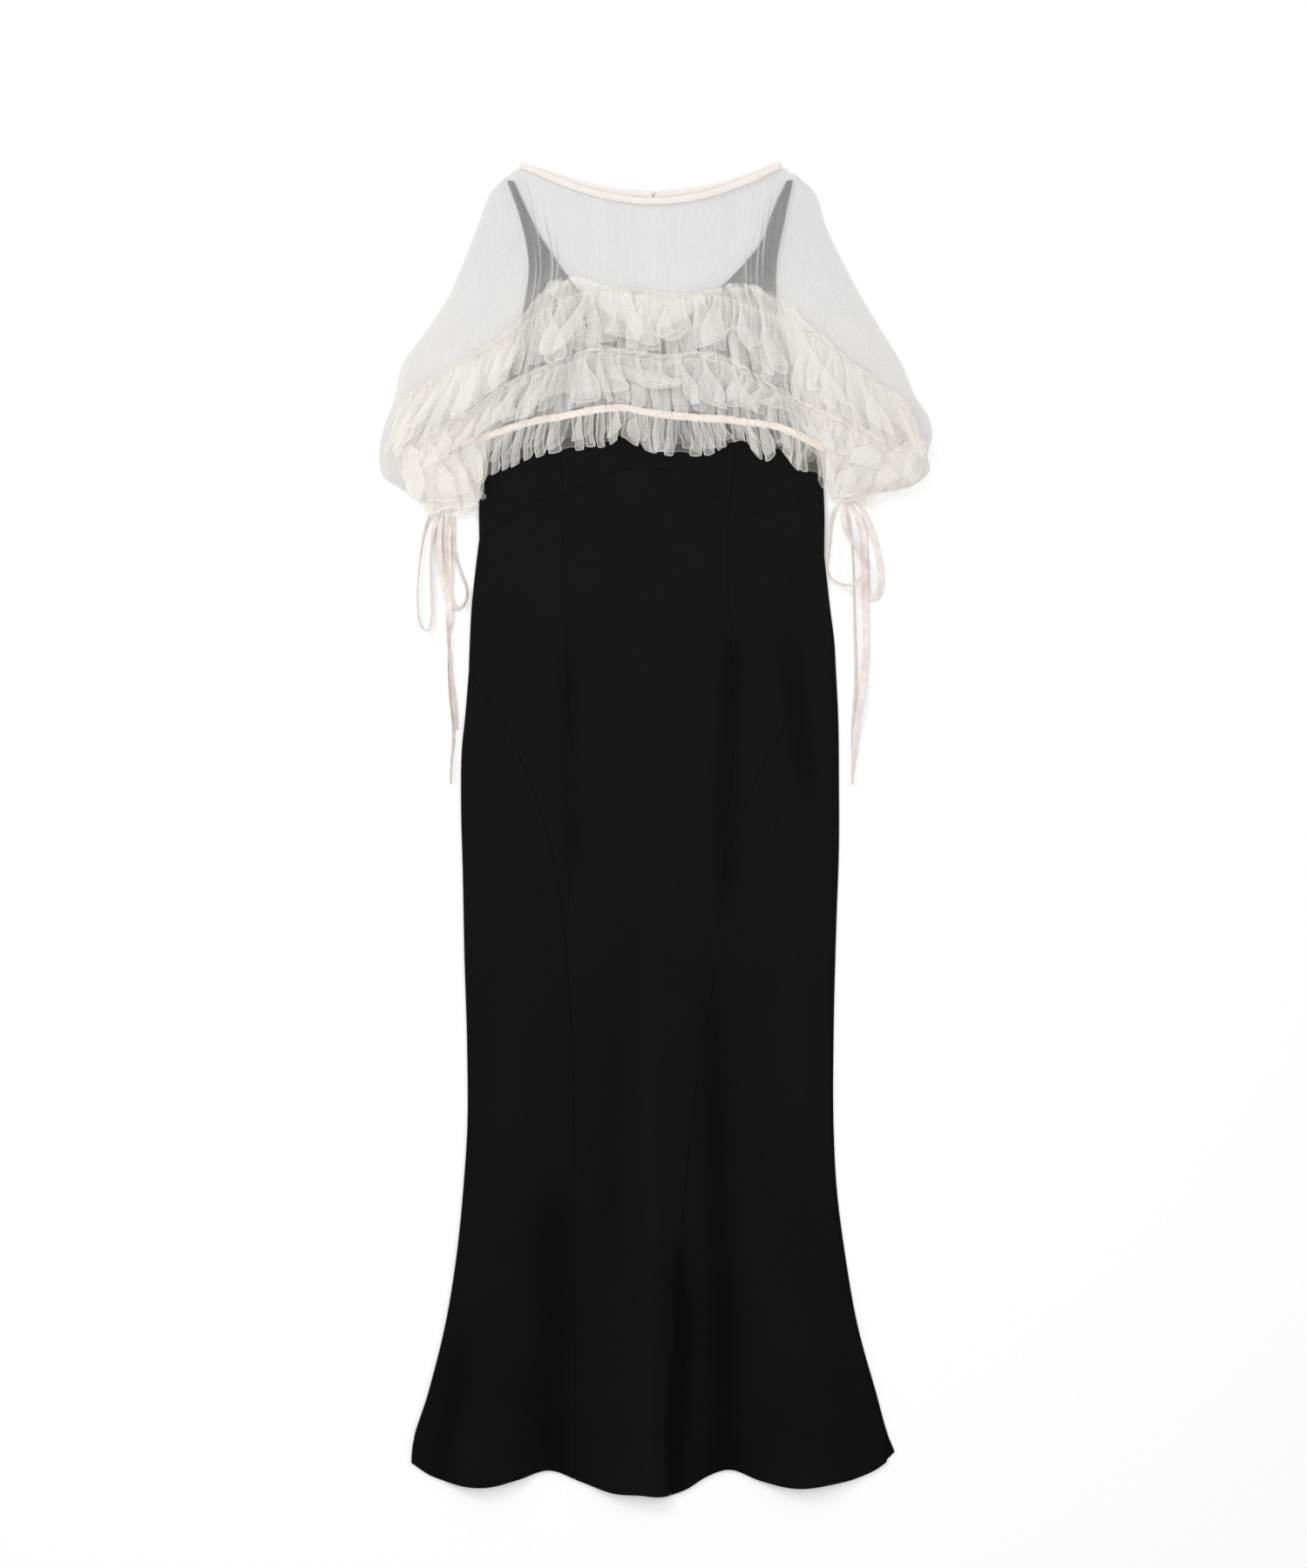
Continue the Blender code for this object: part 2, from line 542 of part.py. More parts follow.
def sheath_seams():
    """The lines that the sheath's panels share, each divided once so that the panels meet."""
    left_waist = waist_point(PRINCESS_WAIST_LEFT)
    right_waist = waist_point(PRINCESS_WAIST_RIGHT)
    princess = even(PRINCESS_ROWS)
    flare = even(FLARE_ROWS)
    return {
        "princess_left": route([left_waist] + PRINCESS_LEFT, princess),
        "princess_right": route([right_waist] + PRINCESS_RIGHT, princess),
        "flare_left": route(FLARE_SEAM_LEFT + [hem_point(FLARE_HEM_LEFT)], flare),
        "flare_right": route(FLARE_SEAM_RIGHT + [hem_point(FLARE_HEM_RIGHT)], flare),
        "side_left": route(FLARE_SIDE_LEFT + [HEM[0]], flare),
        "side_right": route(FLARE_SIDE_RIGHT + [hem_point(FRONT_HEM_END)], flare),
        "hip_left": route(HIP_LEFT, even(SIDE_COLUMNS)),
        "hip_right": route(HIP_RIGHT, even(SIDE_COLUMNS)),
        "hip_side_left": route(HIP_SIDE_LEFT, princess),
        "hip_side_right": route(HIP_SIDE_RIGHT, princess),
        "bodice_left": route(BODICE_PRINCESS_LEFT + [left_waist], even(BODICE_ROWS // 2)),
        "bodice_right": route(BODICE_PRINCESS_RIGHT + [right_waist], even(BODICE_ROWS // 2)),
        "waist_left": down_line(WAIST, WAIST[0][0], PRINCESS_WAIST_LEFT, SIDE_COLUMNS),
        "waist_centre": down_line(WAIST, PRINCESS_WAIST_LEFT, PRINCESS_WAIST_RIGHT, CENTRE_COLUMNS),
        "waist_right": down_line(WAIST, PRINCESS_WAIST_RIGHT, WAIST[-1][0], SIDE_COLUMNS),
    }


def sheath_front(seams):
    """The black front: a centre panel between princess seams, hip panels, flares and a three-part bodice."""
    sheath_panel("skirt_front_centre", patch(
        seams["waist_centre"],
        joined(seams["princess_right"], seams["flare_right"]),
        down_line(HEM, FLARE_HEM_LEFT, FLARE_HEM_RIGHT, CENTRE_COLUMNS),
        joined(seams["princess_left"], seams["flare_left"]),
    ), front=True)
    sheath_panel("skirt_hip_left", patch(
        seams["waist_left"], seams["princess_left"], seams["hip_left"], seams["hip_side_left"],
    ), front=True)
    sheath_panel("skirt_hip_right", patch(
        seams["waist_right"], seams["hip_side_right"], seams["hip_right"], seams["princess_right"],
    ), front=True)
    sheath_panel("skirt_flare_left", patch(
        seams["hip_left"], seams["flare_left"],
        down_line(HEM, HEM[0][0], FLARE_HEM_LEFT, SIDE_COLUMNS), seams["side_left"],
    ), front=True)
    sheath_panel("skirt_flare_right", patch(
        seams["hip_right"], seams["side_right"],
        down_line(HEM, FLARE_HEM_RIGHT, FRONT_HEM_END, SIDE_COLUMNS), seams["flare_right"],
    ), front=True)
    sheath_panel("bodice_front_centre", patch(
        route(PLUNGE, even(CENTRE_COLUMNS)),
        seams["bodice_right"],
        seams["waist_centre"],
        seams["bodice_left"],
    ), front=True)
    half = even(BODICE_ROWS // 2)
    sheath_panel("bodice_front_left", patch(
        route([SHEATH_SIDE_LEFT[0], STRAP_LEFT[0]], even(SIDE_COLUMNS)),
        joined(route(STRAP_LEFT, half), seams["bodice_left"]),
        seams["waist_left"],
        route(SHEATH_SIDE_LEFT, even(BODICE_ROWS)),
    ), front=True)
    sheath_panel("bodice_front_right", patch(
        route([STRAP_RIGHT[0], SHEATH_SIDE_RIGHT[0]], even(SIDE_COLUMNS)),
        route(SHEATH_SIDE_RIGHT, even(BODICE_ROWS)),
        seams["waist_right"],
        joined(route(STRAP_RIGHT, half), seams["bodice_right"]),
    ), front=True)


def sheath_back(seams):
    """The black back: a bodice and a skirt, each in two halves on a seam down the middle."""
    middle_hem = (0, hem_point(0)[1] - BACK_HEM_SHORTER)
    half = even(BODICE_ROWS // 2)
    rows = PRINCESS_ROWS + FLARE_ROWS
    columns = even(BACK_COLUMNS)
    waist_left = route([WAIST[0], BACK_WAIST], columns)
    waist_right = route([BACK_WAIST, WAIST[-1]], columns)
    hem_left = down_line(HEM, HEM[0][0], 0, BACK_COLUMNS) - (0, BACK_HEM_SHORTER)
    hem_right = down_line(HEM, 0, HEM[-1][0], BACK_COLUMNS) - (0, BACK_HEM_SHORTER)
    centre_skirt = route([BACK_WAIST, middle_hem], even(rows))
    centre_bodice = route([BACK_NECK, BACK_WAIST], half)
    left_side = joined(seams["hip_side_left"], seams["side_left"])
    left_side[-1] = hem_left[0]
    right_side = joined(
        route(HIP_BACK_RIGHT, even(PRINCESS_ROWS)),
        route(FLARE_BACK_RIGHT + [tuple(hem_right[-1])], even(FLARE_ROWS)),
    )
    sheath_panel("skirt_back_left", patch(waist_left, centre_skirt, hem_left, left_side), front=False)
    sheath_panel("skirt_back_right", patch(waist_right, right_side, hem_right, centre_skirt), front=False)
    sheath_panel("bodice_back_left", patch(
        route([SHEATH_SIDE_LEFT[0], STRAP_LEFT[0]], columns),
        joined(route(STRAP_LEFT + PLUNGE[1:4], half), centre_bodice),
        waist_left,
        route(SHEATH_SIDE_LEFT, even(BODICE_ROWS)),
    ), front=False)
    sheath_panel("bodice_back_right", patch(
        route([STRAP_RIGHT[0], SHEATH_SIDE_RIGHT[0]], columns),
        route(SHEATH_SIDE_RIGHT, even(BODICE_ROWS)),
        waist_right,
        joined(route(STRAP_RIGHT + PLUNGE[5:2:-1], half), centre_bodice),
    ), front=False)


def below(line, distance):
    """A neck line moved into the cloth, square to itself."""
    along = np.gradient(line, axis=0)
    normal = np.column_stack([-along[:, 1], along[:, 0]])
    return line + distance * normal / np.linalg.norm(normal, axis=1, keepdims=True)


def tulle_front():
    """The gathered tulle front, from its binding to the hem tape, between the armhole seams."""
    fractions, rises, _ = pleats(YOKE_GATHERS, 0.4)
    neck = below(route(NECK_FRONT, even(BINDING_STEPS)), BINDING_WIDTH + BINDING_EASE)
    top = route([ARMHOLE_LEFT[0]] + [tuple(point) for point in neck] + [ARMHOLE_RIGHT[0]], fractions)
    tape = [(row[0], row[1] + TULLE_UNDER_TAPE) for row in HEM_TIER[2:-2]]
    hem = route([ARMHOLE_LEFT[-1]] + tape + [ARMHOLE_RIGHT[-1]], fractions)
    sides = even(ARMHOLE_ROWS)
    grid = drawn_in(patch(
        top, route(ARMHOLE_RIGHT, sides), hem, route(ARMHOLE_LEFT, sides), fractions, sides,
    ))
    gathers = YOKE_GATHER_HEIGHT * rises[None, :] * gather_fade(grid[:, :, 0], grid[:, :, 1])
    return cloth_wall("tulle_front", grid, FRONT_TULLE_HEIGHT + gathers, TULLE, TULLE_FINISH)


def tulle_backs():
    """The two halves of the tulle's back, which lie on the floor."""
    sides = even(ARMHOLE_ROWS)
    columns = even(TULLE_BACK_COLUMNS)
    drop = BINDING_WIDTH + BINDING_EASE
    middle = route([(0, NECK_BACK_LEFT[-1][1] + drop), TULLE_BACK_HEM[2]], sides)
    left_neck = below(route(NECK_BACK_LEFT, even(BINDING_STEPS // 2)), drop)
    right_neck = below(route(NECK_BACK_RIGHT, even(BINDING_STEPS // 2)), drop)
    left_neck[-1] = middle[0]
    right_neck[0] = middle[0]
    hem_left = route([ARMHOLE_LEFT[-1]] + TULLE_BACK_HEM[1:3], columns)
    hem_right = route(TULLE_BACK_HEM[2:4] + [ARMHOLE_RIGHT[-1]], columns)
    left = patch(
        route([ARMHOLE_LEFT[0]] + [tuple(point) for point in left_neck], columns),
        middle,
        hem_left,
        route(ARMHOLE_LEFT, sides),
    )
    right = patch(
        route([tuple(point) for point in right_neck] + [ARMHOLE_RIGHT[0]], columns),
        route(ARMHOLE_RIGHT, sides),
        hem_right,
        middle,
    )
    cloth_wall("tulle_back_left", drawn_in(left), 0, TULLE, TULLE_FINISH)
    cloth_wall("tulle_back_right", drawn_in(right), 0, TULLE, TULLE_FINISH)


def sleeve(side, armhole, underarm, fold, cuff, phase):
    """A sleeve: a gathered upper layer that puffs up, and an under layer flat on the floor."""
    extra = SLEEVE_ROWS - ARMHOLE_ROWS
    seam = joined(route(armhole, even(ARMHOLE_ROWS)), route(underarm, even(extra)))
    outer = route(fold, even(SLEEVE_ROWS))
    fractions, rises, _ = pleats(SLEEVE_GATHERS, phase)
    plain = even(BACK_COLUMNS)
    sheets = []
    for places in (fractions, plain):
        top = route([fold[0], armhole[0]] if side == "left" else [armhole[0], fold[0]], places)
        bottom = route(cuff, places)
        left, right = (outer, seam) if side == "left" else (seam, outer)
        sheets.append(drawn_in(patch(top, right, bottom, left, places, even(SLEEVE_ROWS))))
    upper, under = sheets
    across, down = upper[:, :, 0], upper[:, :, 1]
    middle = np.sin(np.pi * fractions)[None, :]
    fade = gather_fade(across, down) * ramp(down, *SLEEVE_HEAD)
    gathers = SLEEVE_GATHER_HEIGHT * rises[None, :] * middle * fade
    cloth_wall(f"sleeve_{side}_upper", upper, cape_top(across, down) - TULLE + gathers, TULLE, TULLE_FINISH)
    cloth_wall(f"sleeve_{side}_under", under, 0, TULLE, TULLE_FINISH)


def ruffle(name, tier, rows, waves, phase, base):
    """A gathered tier that follows its line and stands in waves over the base."""
    fractions, rises, members = pleats(waves, phase)
    lines = route(tier, fractions)
    gather, free, header = lines[:, 0:2], lines[:, 2:4], lines[:, 4:5]
    fall = free - gather
    fall_direction = fall / np.linalg.norm(fall, axis=1, keepdims=True)
    along = np.gradient(gather, axis=0)
    along /= np.linalg.norm(along, axis=1, keepdims=True)
    lean = RUFFLE_LEAN * np.sin(LEAN_TURN * members + phase) * np.sin(np.pi * fractions) ** 0.5
    grid = []
    underside = []
    for place, clear, wave in rows:
        points = gather + fall * place if place >= 0 else gather + fall_direction * header * place
        points = points + along * (lean * max(place, 0))[:, None]
        grid.append(points)
        underside.append(base(points[:, 0], points[:, 1]) + clear + wave * rises)
    return cloth_wall(name, np.array(grid), np.array(underside), RUFFLE, RUFFLE_FINISH)


def floor_level(across, down):
    """Height under the cuff frills, which hang past the sleeves."""
    return np.zeros(np.broadcast(across, down).shape)


def ruffles():
    ruffle("ruffle_top", TOP_TIER, TIER_ROWS, TOP_WAVES, 0.9, cape_top)
    ruffle("ruffle_middle", MIDDLE_TIER, TIER_ROWS, MIDDLE_WAVES, 2.1, cape_top)
    ruffle("ruffle_hem", HEM_TIER, HEM_TIER_ROWS, HEM_WAVES, 3.3, cape_top)
    ruffle("cuff_frill_left", CUFF_FRILL_LEFT, CUFF_ROWS, CUFF_WAVES, 0.5, floor_level)
    ruffle("cuff_frill_right", CUFF_FRILL_RIGHT, CUFF_ROWS, CUFF_WAVES, 1.5, floor_level)


def hem_tape():
    """The narrow tape sewn over the join of the hem ruffle."""
    line = route([row[:2] for row in HEM_TIER], even(TAPE_STEPS))
    along = np.gradient(line, axis=0)
    normal = np.column_stack([along[:, 1], -along[:, 0]])
    normal /= np.linalg.norm(normal, axis=1, keepdims=True)
    grid = np.array([line + normal * TAPE_WIDTH, line + normal * GAP])
    underside = cape_top(grid[:, :, 0], grid[:, :, 1]) + TAPE_CLEAR
    return cloth_wall("hem_tape", grid, underside, TAPE, TAPE_FINISH)


def binding(name, neck, steps, underside):
    """A strip folded over a neck edge."""
    upper = route(neck, even(steps))
    lower = below(upper, BINDING_WIDTH)
    return cloth_wall(name, drawn_in(np.array([upper, lower])), underside, BINDING, BINDING_FINISH)


def bindings():
    binding("neck_binding_front", NECK_FRONT, BINDING_STEPS, LEVEL - BINDING)
    binding("neck_binding_back_left", NECK_BACK_LEFT, BINDING_STEPS // 2, 0)
    binding("neck_binding_back_right", NECK_BACK_RIGHT, BINDING_STEPS // 2, 0)


def ribbon(name, rows, from_knot_to_knot):
    """A flat ribbon along its route, pinched where it leaves the knot and tilted as it lies."""
    points = route(rows, even(RIBBON_STEPS))
    path = points[:, :2]
    lengths = np.append(0, np.cumsum(np.hypot(*np.diff(path, axis=0).T)))
    from_knot = np.minimum(lengths, lengths[-1] - lengths) if from_knot_to_knot else lengths
    width = RIBBON_PINCH + (RIBBON_WIDTH - RIBBON_PINCH) * ramp(from_knot, 0, RIBBON_OPENS)
    tilt = np.radians(points[:, 3])
    along = np.gradient(path, axis=0)
    along /= np.linalg.norm(along, axis=1, keepdims=True)
    sideways = np.column_stack([-along[:, 1], along[:, 0]])
    half_width = np.column_stack([sideways * np.cos(tilt)[:, None], np.sin(tilt)]) * width[:, None] / 2
    half_thick = np.column_stack([-sideways * np.sin(tilt)[:, None], np.cos(tilt)]) * RIBBON / 2
    raised = points[:, 2] + np.abs(half_width[:, 2]) + np.abs(half_thick[:, 2])
    centre = np.column_stack([path, raised])
    corners = [centre + half_width + half_thick, centre + half_width - half_thick]
    corners += [centre - half_width - half_thick, centre - half_width + half_thick]
    mesh = bmesh.new()
    rings = [[mesh.verts.new(point) for point in ring] for ring in placed(np.stack(corners, axis=1))]
    for here, there in zip(rings, rings[1:]):
        for side in range(4):
            mesh.faces.new((here[side], here[side - 1], there[side - 1], there[side]))
    mesh.faces.new(rings[0])
    mesh.faces.new(rings[-1])
    return add_object(name, mesh, RIBBON_FINISH, smooth_shading=False)


def ties():
    for side, routes, knot in (("left", TIES_LEFT, KNOT_LEFT), ("right", TIES_RIGHT, KNOT_RIGHT)):
        rounded_block(f"tie_{side}_knot", knot, 0, KNOT_ROUNDING, RIBBON_FINISH)
        for part, rows in routes.items():
            ribbon(f"tie_{side}_{part}", rows, from_knot_to_knot=part.startswith("loop"))


def main():
    clear_scene()
    seams = sheath_seams()
    sheath_front(seams)
    sheath_back(seams)
    tulle_front()
    tulle_backs()
    sleeve("left", ARMHOLE_LEFT, UNDERARM_LEFT, SLEEVE_FOLD_LEFT, CUFF_LEFT, 0.3)
    sleeve("right", ARMHOLE_RIGHT, UNDERARM_RIGHT, SLEEVE_FOLD_RIGHT, CUFF_RIGHT, 1.2)
    ruffles()
    hem_tape()
    bindings()
    rounded_block("neck_hook", HOOK, BINDING + GAP, HOOK_ROUNDING, METAL_FINISH)
    ties()


main()
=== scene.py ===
"""Looks of the laid-out tulle dress: crepe panels, pleated tulle, ruffle tiers, trims and ribbon ties.

The tables are in millimetres on the laid-out dress, as the frame was drawn. "across" runs to the
right from the middle of the neckline, "down" runs from the shoulder seams to the hem, and heights
are above the floor. "left" and "right" are as seen from above.
"""

from collections import namedtuple

import bpy
import numpy as np
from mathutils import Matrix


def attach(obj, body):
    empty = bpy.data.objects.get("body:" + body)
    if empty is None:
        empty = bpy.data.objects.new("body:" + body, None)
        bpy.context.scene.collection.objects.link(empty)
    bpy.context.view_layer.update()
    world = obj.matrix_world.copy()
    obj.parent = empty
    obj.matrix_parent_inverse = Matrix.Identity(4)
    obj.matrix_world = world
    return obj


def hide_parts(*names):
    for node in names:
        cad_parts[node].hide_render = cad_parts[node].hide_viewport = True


MM = 0.001

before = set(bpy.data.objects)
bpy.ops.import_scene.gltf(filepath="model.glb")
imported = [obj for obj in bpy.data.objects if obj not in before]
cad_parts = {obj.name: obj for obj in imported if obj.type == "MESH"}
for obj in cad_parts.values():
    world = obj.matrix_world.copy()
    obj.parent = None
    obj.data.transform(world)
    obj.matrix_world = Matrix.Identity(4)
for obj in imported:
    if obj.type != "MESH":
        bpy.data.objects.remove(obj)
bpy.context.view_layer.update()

# Walls and gaps, as in the frame
CREPE = 1.2
TULLE = 1.0
BINDING = 2.0
GAP = 0.3

# The stack under the top, from the floor up
BACK_CREPE_HEIGHT = TULLE + GAP
FRONT_CREPE_RISE = CREPE + GAP
FRONT_TULLE_HEIGHT = BACK_CREPE_HEIGHT + 2 * FRONT_CREPE_RISE
LEVEL = FRONT_TULLE_HEIGHT + TULLE
SLEEVE_FOLD_HEIGHT = 2 * TULLE + GAP

# Where the black layers come down from the tulle under them to the floor
DROP_FROM = 310.0
DROP_TO = 570.0

# Middle of the laid-out dress, which is the frame's own origin
MIDDLE_ACROSS = 2.5
MIDDLE_DOWN = 751.5

# Thickness of the drawn shells, inside the frame's walls
CREPE_DRAWN = 0.75
TAPE_DRAWN = 0.5
BINDING_DRAWN = 0.9

# Widths of the trims, how far the net stays clear of the binding, and how far the tape and the front's
# net reach above the hem ruffle's line
BINDING_WIDTH = 8.0
BINDING_EASE = 0.45
TAPE_WIDTH = 9.0
TAPE_ABOVE = 3.0
NET_ABOVE_LINE = 3.0
RIBBON_WIDTH = 7.0
THREAD_STITCH = 4.2
THREAD_HALF = 0.75

# Armhole seams between the tulle front and the sleeves: across, down
ARMHOLE_LEFT = [
    (-169, 3.5), (-153, 55), (-143, 110), (-147, 152), (-160, 200), (-175, 250), (-190, 300), (-200, 330),
]
ARMHOLE_RIGHT = [
    (162, 0.5), (151, 51), (141, 108), (142, 152), (155, 200), (170, 250), (185, 300), (194, 330),
]
UNDERARM_LEFT = [(-200, 330), (-199, 357)]
UNDERARM_RIGHT = [(194, 330), (199, 360)]

# Outer folds of the sleeves, shoulder to cuff: across, down
SLEEVE_FOLD_LEFT = [
    (-171.5, 5), (-186, 20), (-202, 60), (-218, 100), (-235, 140), (-261, 180), (-289, 220),
    (-298, 260), (-312, 300), (-315, 325), (-310, 348), (-292, 360), (-267, 378),
]
SLEEVE_FOLD_RIGHT = [
    (165, 2.5), (184, 20), (198, 60), (217, 100), (238, 140), (262, 180), (286, 220), (301, 256),
    (317, 282), (320, 302), (314, 321), (317, 340), (300, 356), (252, 367),
]

# Drawn-in ends of the sleeves: across, down
CUFF_LEFT = [(-267, 378), (-237, 375), (-217, 367), (-199, 357)]
CUFF_RIGHT = [(199, 360), (212, 367), (230, 369), (252, 367)]

# How far the sleeves puff above their folds: down, height
PUFF = [(0, 1), (60, 4), (150, 8), (250, 13), (305, 18), (345, 13), (362, 7), (380, 4)]

# Neck edges, left to right: across, down
NECK_FRONT = [
    (-152, -14), (-138, -9), (-118, 0), (-90, 11), (-55, 21), (-25, 26), (0, 27.5), (25, 26), (55, 21),
    (88, 11), (116, 0), (134, -9), (143, -14),
]
NECK_BACK_LEFT = [(-152, -14), (-118, -3), (-55, 14), (0, 20)]
NECK_BACK_RIGHT = [(0, 20), (55, 14), (116, -3), (143, -14)]

# Neck edges of the sheath under the tulle, strap to middle: across, down
STRAP_LEFT = [(-161, 8), (-152, 27), (-144, 44), (-132, 68), (-117, 91), (-103, 112)]
STRAP_RIGHT = [(153, 8), (139, 37), (121, 82), (105, 102), (86, 122)]
PLUNGE = [(-103, 112), (-60, 155), (-20, 175), (0, 178), (20, 174), (50, 155), (86, 122)]
SHEATH_SIDE_LEFT = [
    (-168, 8), (-153, 51), (-143, 108), (-148, 148), (-171, 249), (-196, 340), (-200, 380), (-200, 419),
]
SHEATH_SIDE_RIGHT = [
    (160, 7), (151, 51), (141, 108), (142, 152), (168, 249), (192, 330), (196, 380), (196, 438),
]

# Waist seam of the front: across, down
WAIST = [
    (-200, 419), (-170, 398), (-128, 374), (-103, 367), (-79, 358), (-45, 343), (-21, 337), (4, 338),
    (29, 347), (58, 365), (83, 376), (120, 389), (153, 404), (178, 420), (196, 438),
]
PRINCESS_WAIST_LEFT = -104
PRINCESS_WAIST_RIGHT = 88

# Seams of the sheath, top to bottom: across, down
BODICE_PRINCESS_LEFT = [(-103, 112), (-104, 220), (-106, 325)]
BODICE_PRINCESS_RIGHT = [(86, 122), (90, 220), (93, 325)]
PRINCESS_LEFT = [(-103, 445), (-101, 511), (-98, 590), (-95, 652), (-92, 693), (-95, 780), (-100, 885)]
PRINCESS_RIGHT = [(85, 416), (85, 466), (88, 511), (90, 569), (92, 631), (90, 693), (85, 735), (81, 805)]
HIP_LEFT = [
    (-212, 571), (-186, 611), (-161, 652), (-141, 697), (-124, 747), (-114, 788), (-107, 830), (-100, 885),
]
HIP_RIGHT = [(81, 805), (91, 768), (103, 731), (124, 681), (145, 644), (165, 604), (186, 582), (205, 561)]
FLARE_SEAM_LEFT = [(-100, 885), (-94, 990), (-91, 1100), (-91, 1232), (-90, 1364)]
FLARE_SEAM_RIGHT = [
    (81, 805), (72, 879), (64, 959), (52, 1021), (44, 1091), (38, 1153), (31, 1232), (27, 1320), (21, 1386),
]
FLARE_HEM_LEFT = -90
FLARE_HEM_RIGHT = 19

# Sides of the skirt, top to bottom: across, down
HIP_SIDE_LEFT = [(-200, 419), (-205, 460), (-209, 500), (-211, 540), (-212, 571)]
HIP_SIDE_RIGHT = [(196, 438), (200, 490), (204, 530), (205, 561)]
FLARE_SIDE_LEFT = [
    (-212, 571), (-216, 620), (-220, 660), (-221, 720), (-219, 800), (-217, 900), (-214, 1000),
    (-214, 1100), (-218, 1160), (-226, 1240), (-239, 1320), (-259, 1400), (-277, 1462),
]
FLARE_SIDE_RIGHT = [
    (205, 561), (206, 660), (206, 720), (205, 880), (203, 1012), (204, 1100), (209, 1188),
    (220, 1260), (236, 1335), (252, 1400), (265, 1450),
]
HIP_BACK_RIGHT = [(196, 438), (203, 500), (208, 540), (209, 561)]
FLARE_BACK_RIGHT = [
    (209, 561), (212, 620), (213, 700), (213, 770), (210, 860), (207, 980), (207, 1100), (210, 1160),
    (220, 1240), (234, 1320), (256, 1400), (272, 1455),
]

# Hem: across, down
HEM = [
    (-278, 1479), (-257, 1493), (-239, 1500), (-191, 1506), (-155, 1498), (-119, 1488), (-83, 1501),
    (-47, 1513), (-15, 1514.5), (19, 1516), (37, 1510), (61, 1495), (85, 1487), (121, 1499), (163, 1507),
    (205, 1503), (235, 1496), (265, 1480), (277, 1468),
]
FRONT_HEM_END = 268
BACK_HEM_SHORTER = 1.5

# Share of the front panel's rows above the flares, and where creases count as running out at the hem
SKIRT_SHARE = 0.4
HEM_STARTS = 1503.0

# Middle of the back's neck edge and waist: across, down
BACK_NECK = (0, 178)
BACK_WAIST = (0, 424)

# Folds of the skirt's front: top across, top down, foot across, foot down, width on the left,
# width on the right, height at the top, height at the foot
SKIRT_FOLDS = [
    (-188, 1040, -200, 1520, 62, 85, 0.0, 11.0),
    (6, 880, -8, 1520, 85, 52, 0.0, 13.0),
    (128, 1040, 172, 1520, 70, 80, 0.0, 12.0),
    (-4, 470, -4, 800, 76, 76, 1.5, 1.5),
    (-150, 500, -148, 720, 40, 38, 1.2, 1.2),
    (140, 500, 168, 740, 34, 36, 1.2, 1.2),
]
# How far folds take to rise and fall along themselves, how they grow, and where they die at the sides
FOLD_FADE = 70.0
FOLD_GROWTH = 1.6
SIDE_FADE = 26.0

# Hems of the tulle under the ruffles, left to right: across, down
TULLE_BACK_HEM = [(-200, 322), (-100, 306), (0, 300), (100, 306), (194, 322)]

# Ruffle tiers, left to right: gather line across, down; free edge across, down; header above the line
TOP_TIER = [
    (-295, 270, -303, 328, 7), (-249, 241, -265, 303, 7), (-197, 210, -212, 272, 8),
    (-166, 192, -180, 246, 14), (-136, 164, -146, 229, 25), (-96, 144, -98, 212, 22),
    (-56, 134, -58, 202, 5), (-19, 138, -20, 204, 4), (17, 143, 18, 209, 4), (66, 140, 70, 207, 5),
    (109, 153, 118, 229, 24), (152, 171, 163, 251, 20), (190, 195, 205, 278, 11),
    (235, 230, 253, 300, 7), (298, 274, 307, 319, 6),
]
MIDDLE_TIER = [
    (-270, 310, -284, 350, 6), (-210, 280, -221, 322, 8), (-171, 250, -183, 290, 8),
    (-139, 234, -146, 282, 8), (-98, 219, -100, 270, 8), (-70, 209, -70, 264, 8),
    (-24, 212, -23, 265, 8), (10, 217, 10, 269, 8), (50, 213, 52, 273, 8), (91, 222, 93, 275, 8),
    (120, 241, 124, 280, 8), (151, 258, 156, 290, 8), (210, 290, 212, 330, 8), (280, 320, 285, 350, 6),
]
HEM_TIER = [
    (-220, 315, -211, 356, 0), (-179, 299, -184, 349, 0), (-132, 285, -138, 329, 0),
    (-108, 281, -114, 324, 0), (-84, 276, -87, 318, 0), (-50, 271, -56, 315, 0),
    (-29, 271, -37, 304, 0), (-15, 274, -20, 315, 0), (10, 278, 7, 321, 0), (50, 282, 56, 326, 0),
    (85, 284, 85, 312, 0), (100, 286, 100, 306, 0), (118, 288, 124, 331, 0), (142, 292, 146, 321, 0),
    (164, 301, 168, 342, 0), (196, 318, 198, 351, 0),
]
CUFF_FRILL_LEFT = [
    (-266, 378.5, -262, 390, 0), (-253, 377.5, -254, 401, 0), (-243, 376.4, -245, 389, 0),
    (-237, 375.6, -237, 378.4, 0), (-230, 373.4, -229, 391, 0), (-217, 367.6, -214, 390, 0),
    (-199.5, 358, -193, 374, 0),
]
CUFF_FRILL_RIGHT = [
    (199.5, 361, 199, 369, 0), (212, 367.6, 206, 377, 0), (222, 369, 220, 378, 0),
    (232, 369.6, 230, 372, 0), (242, 369, 245, 384, 0), (251, 367.8, 252, 372, 0),
]

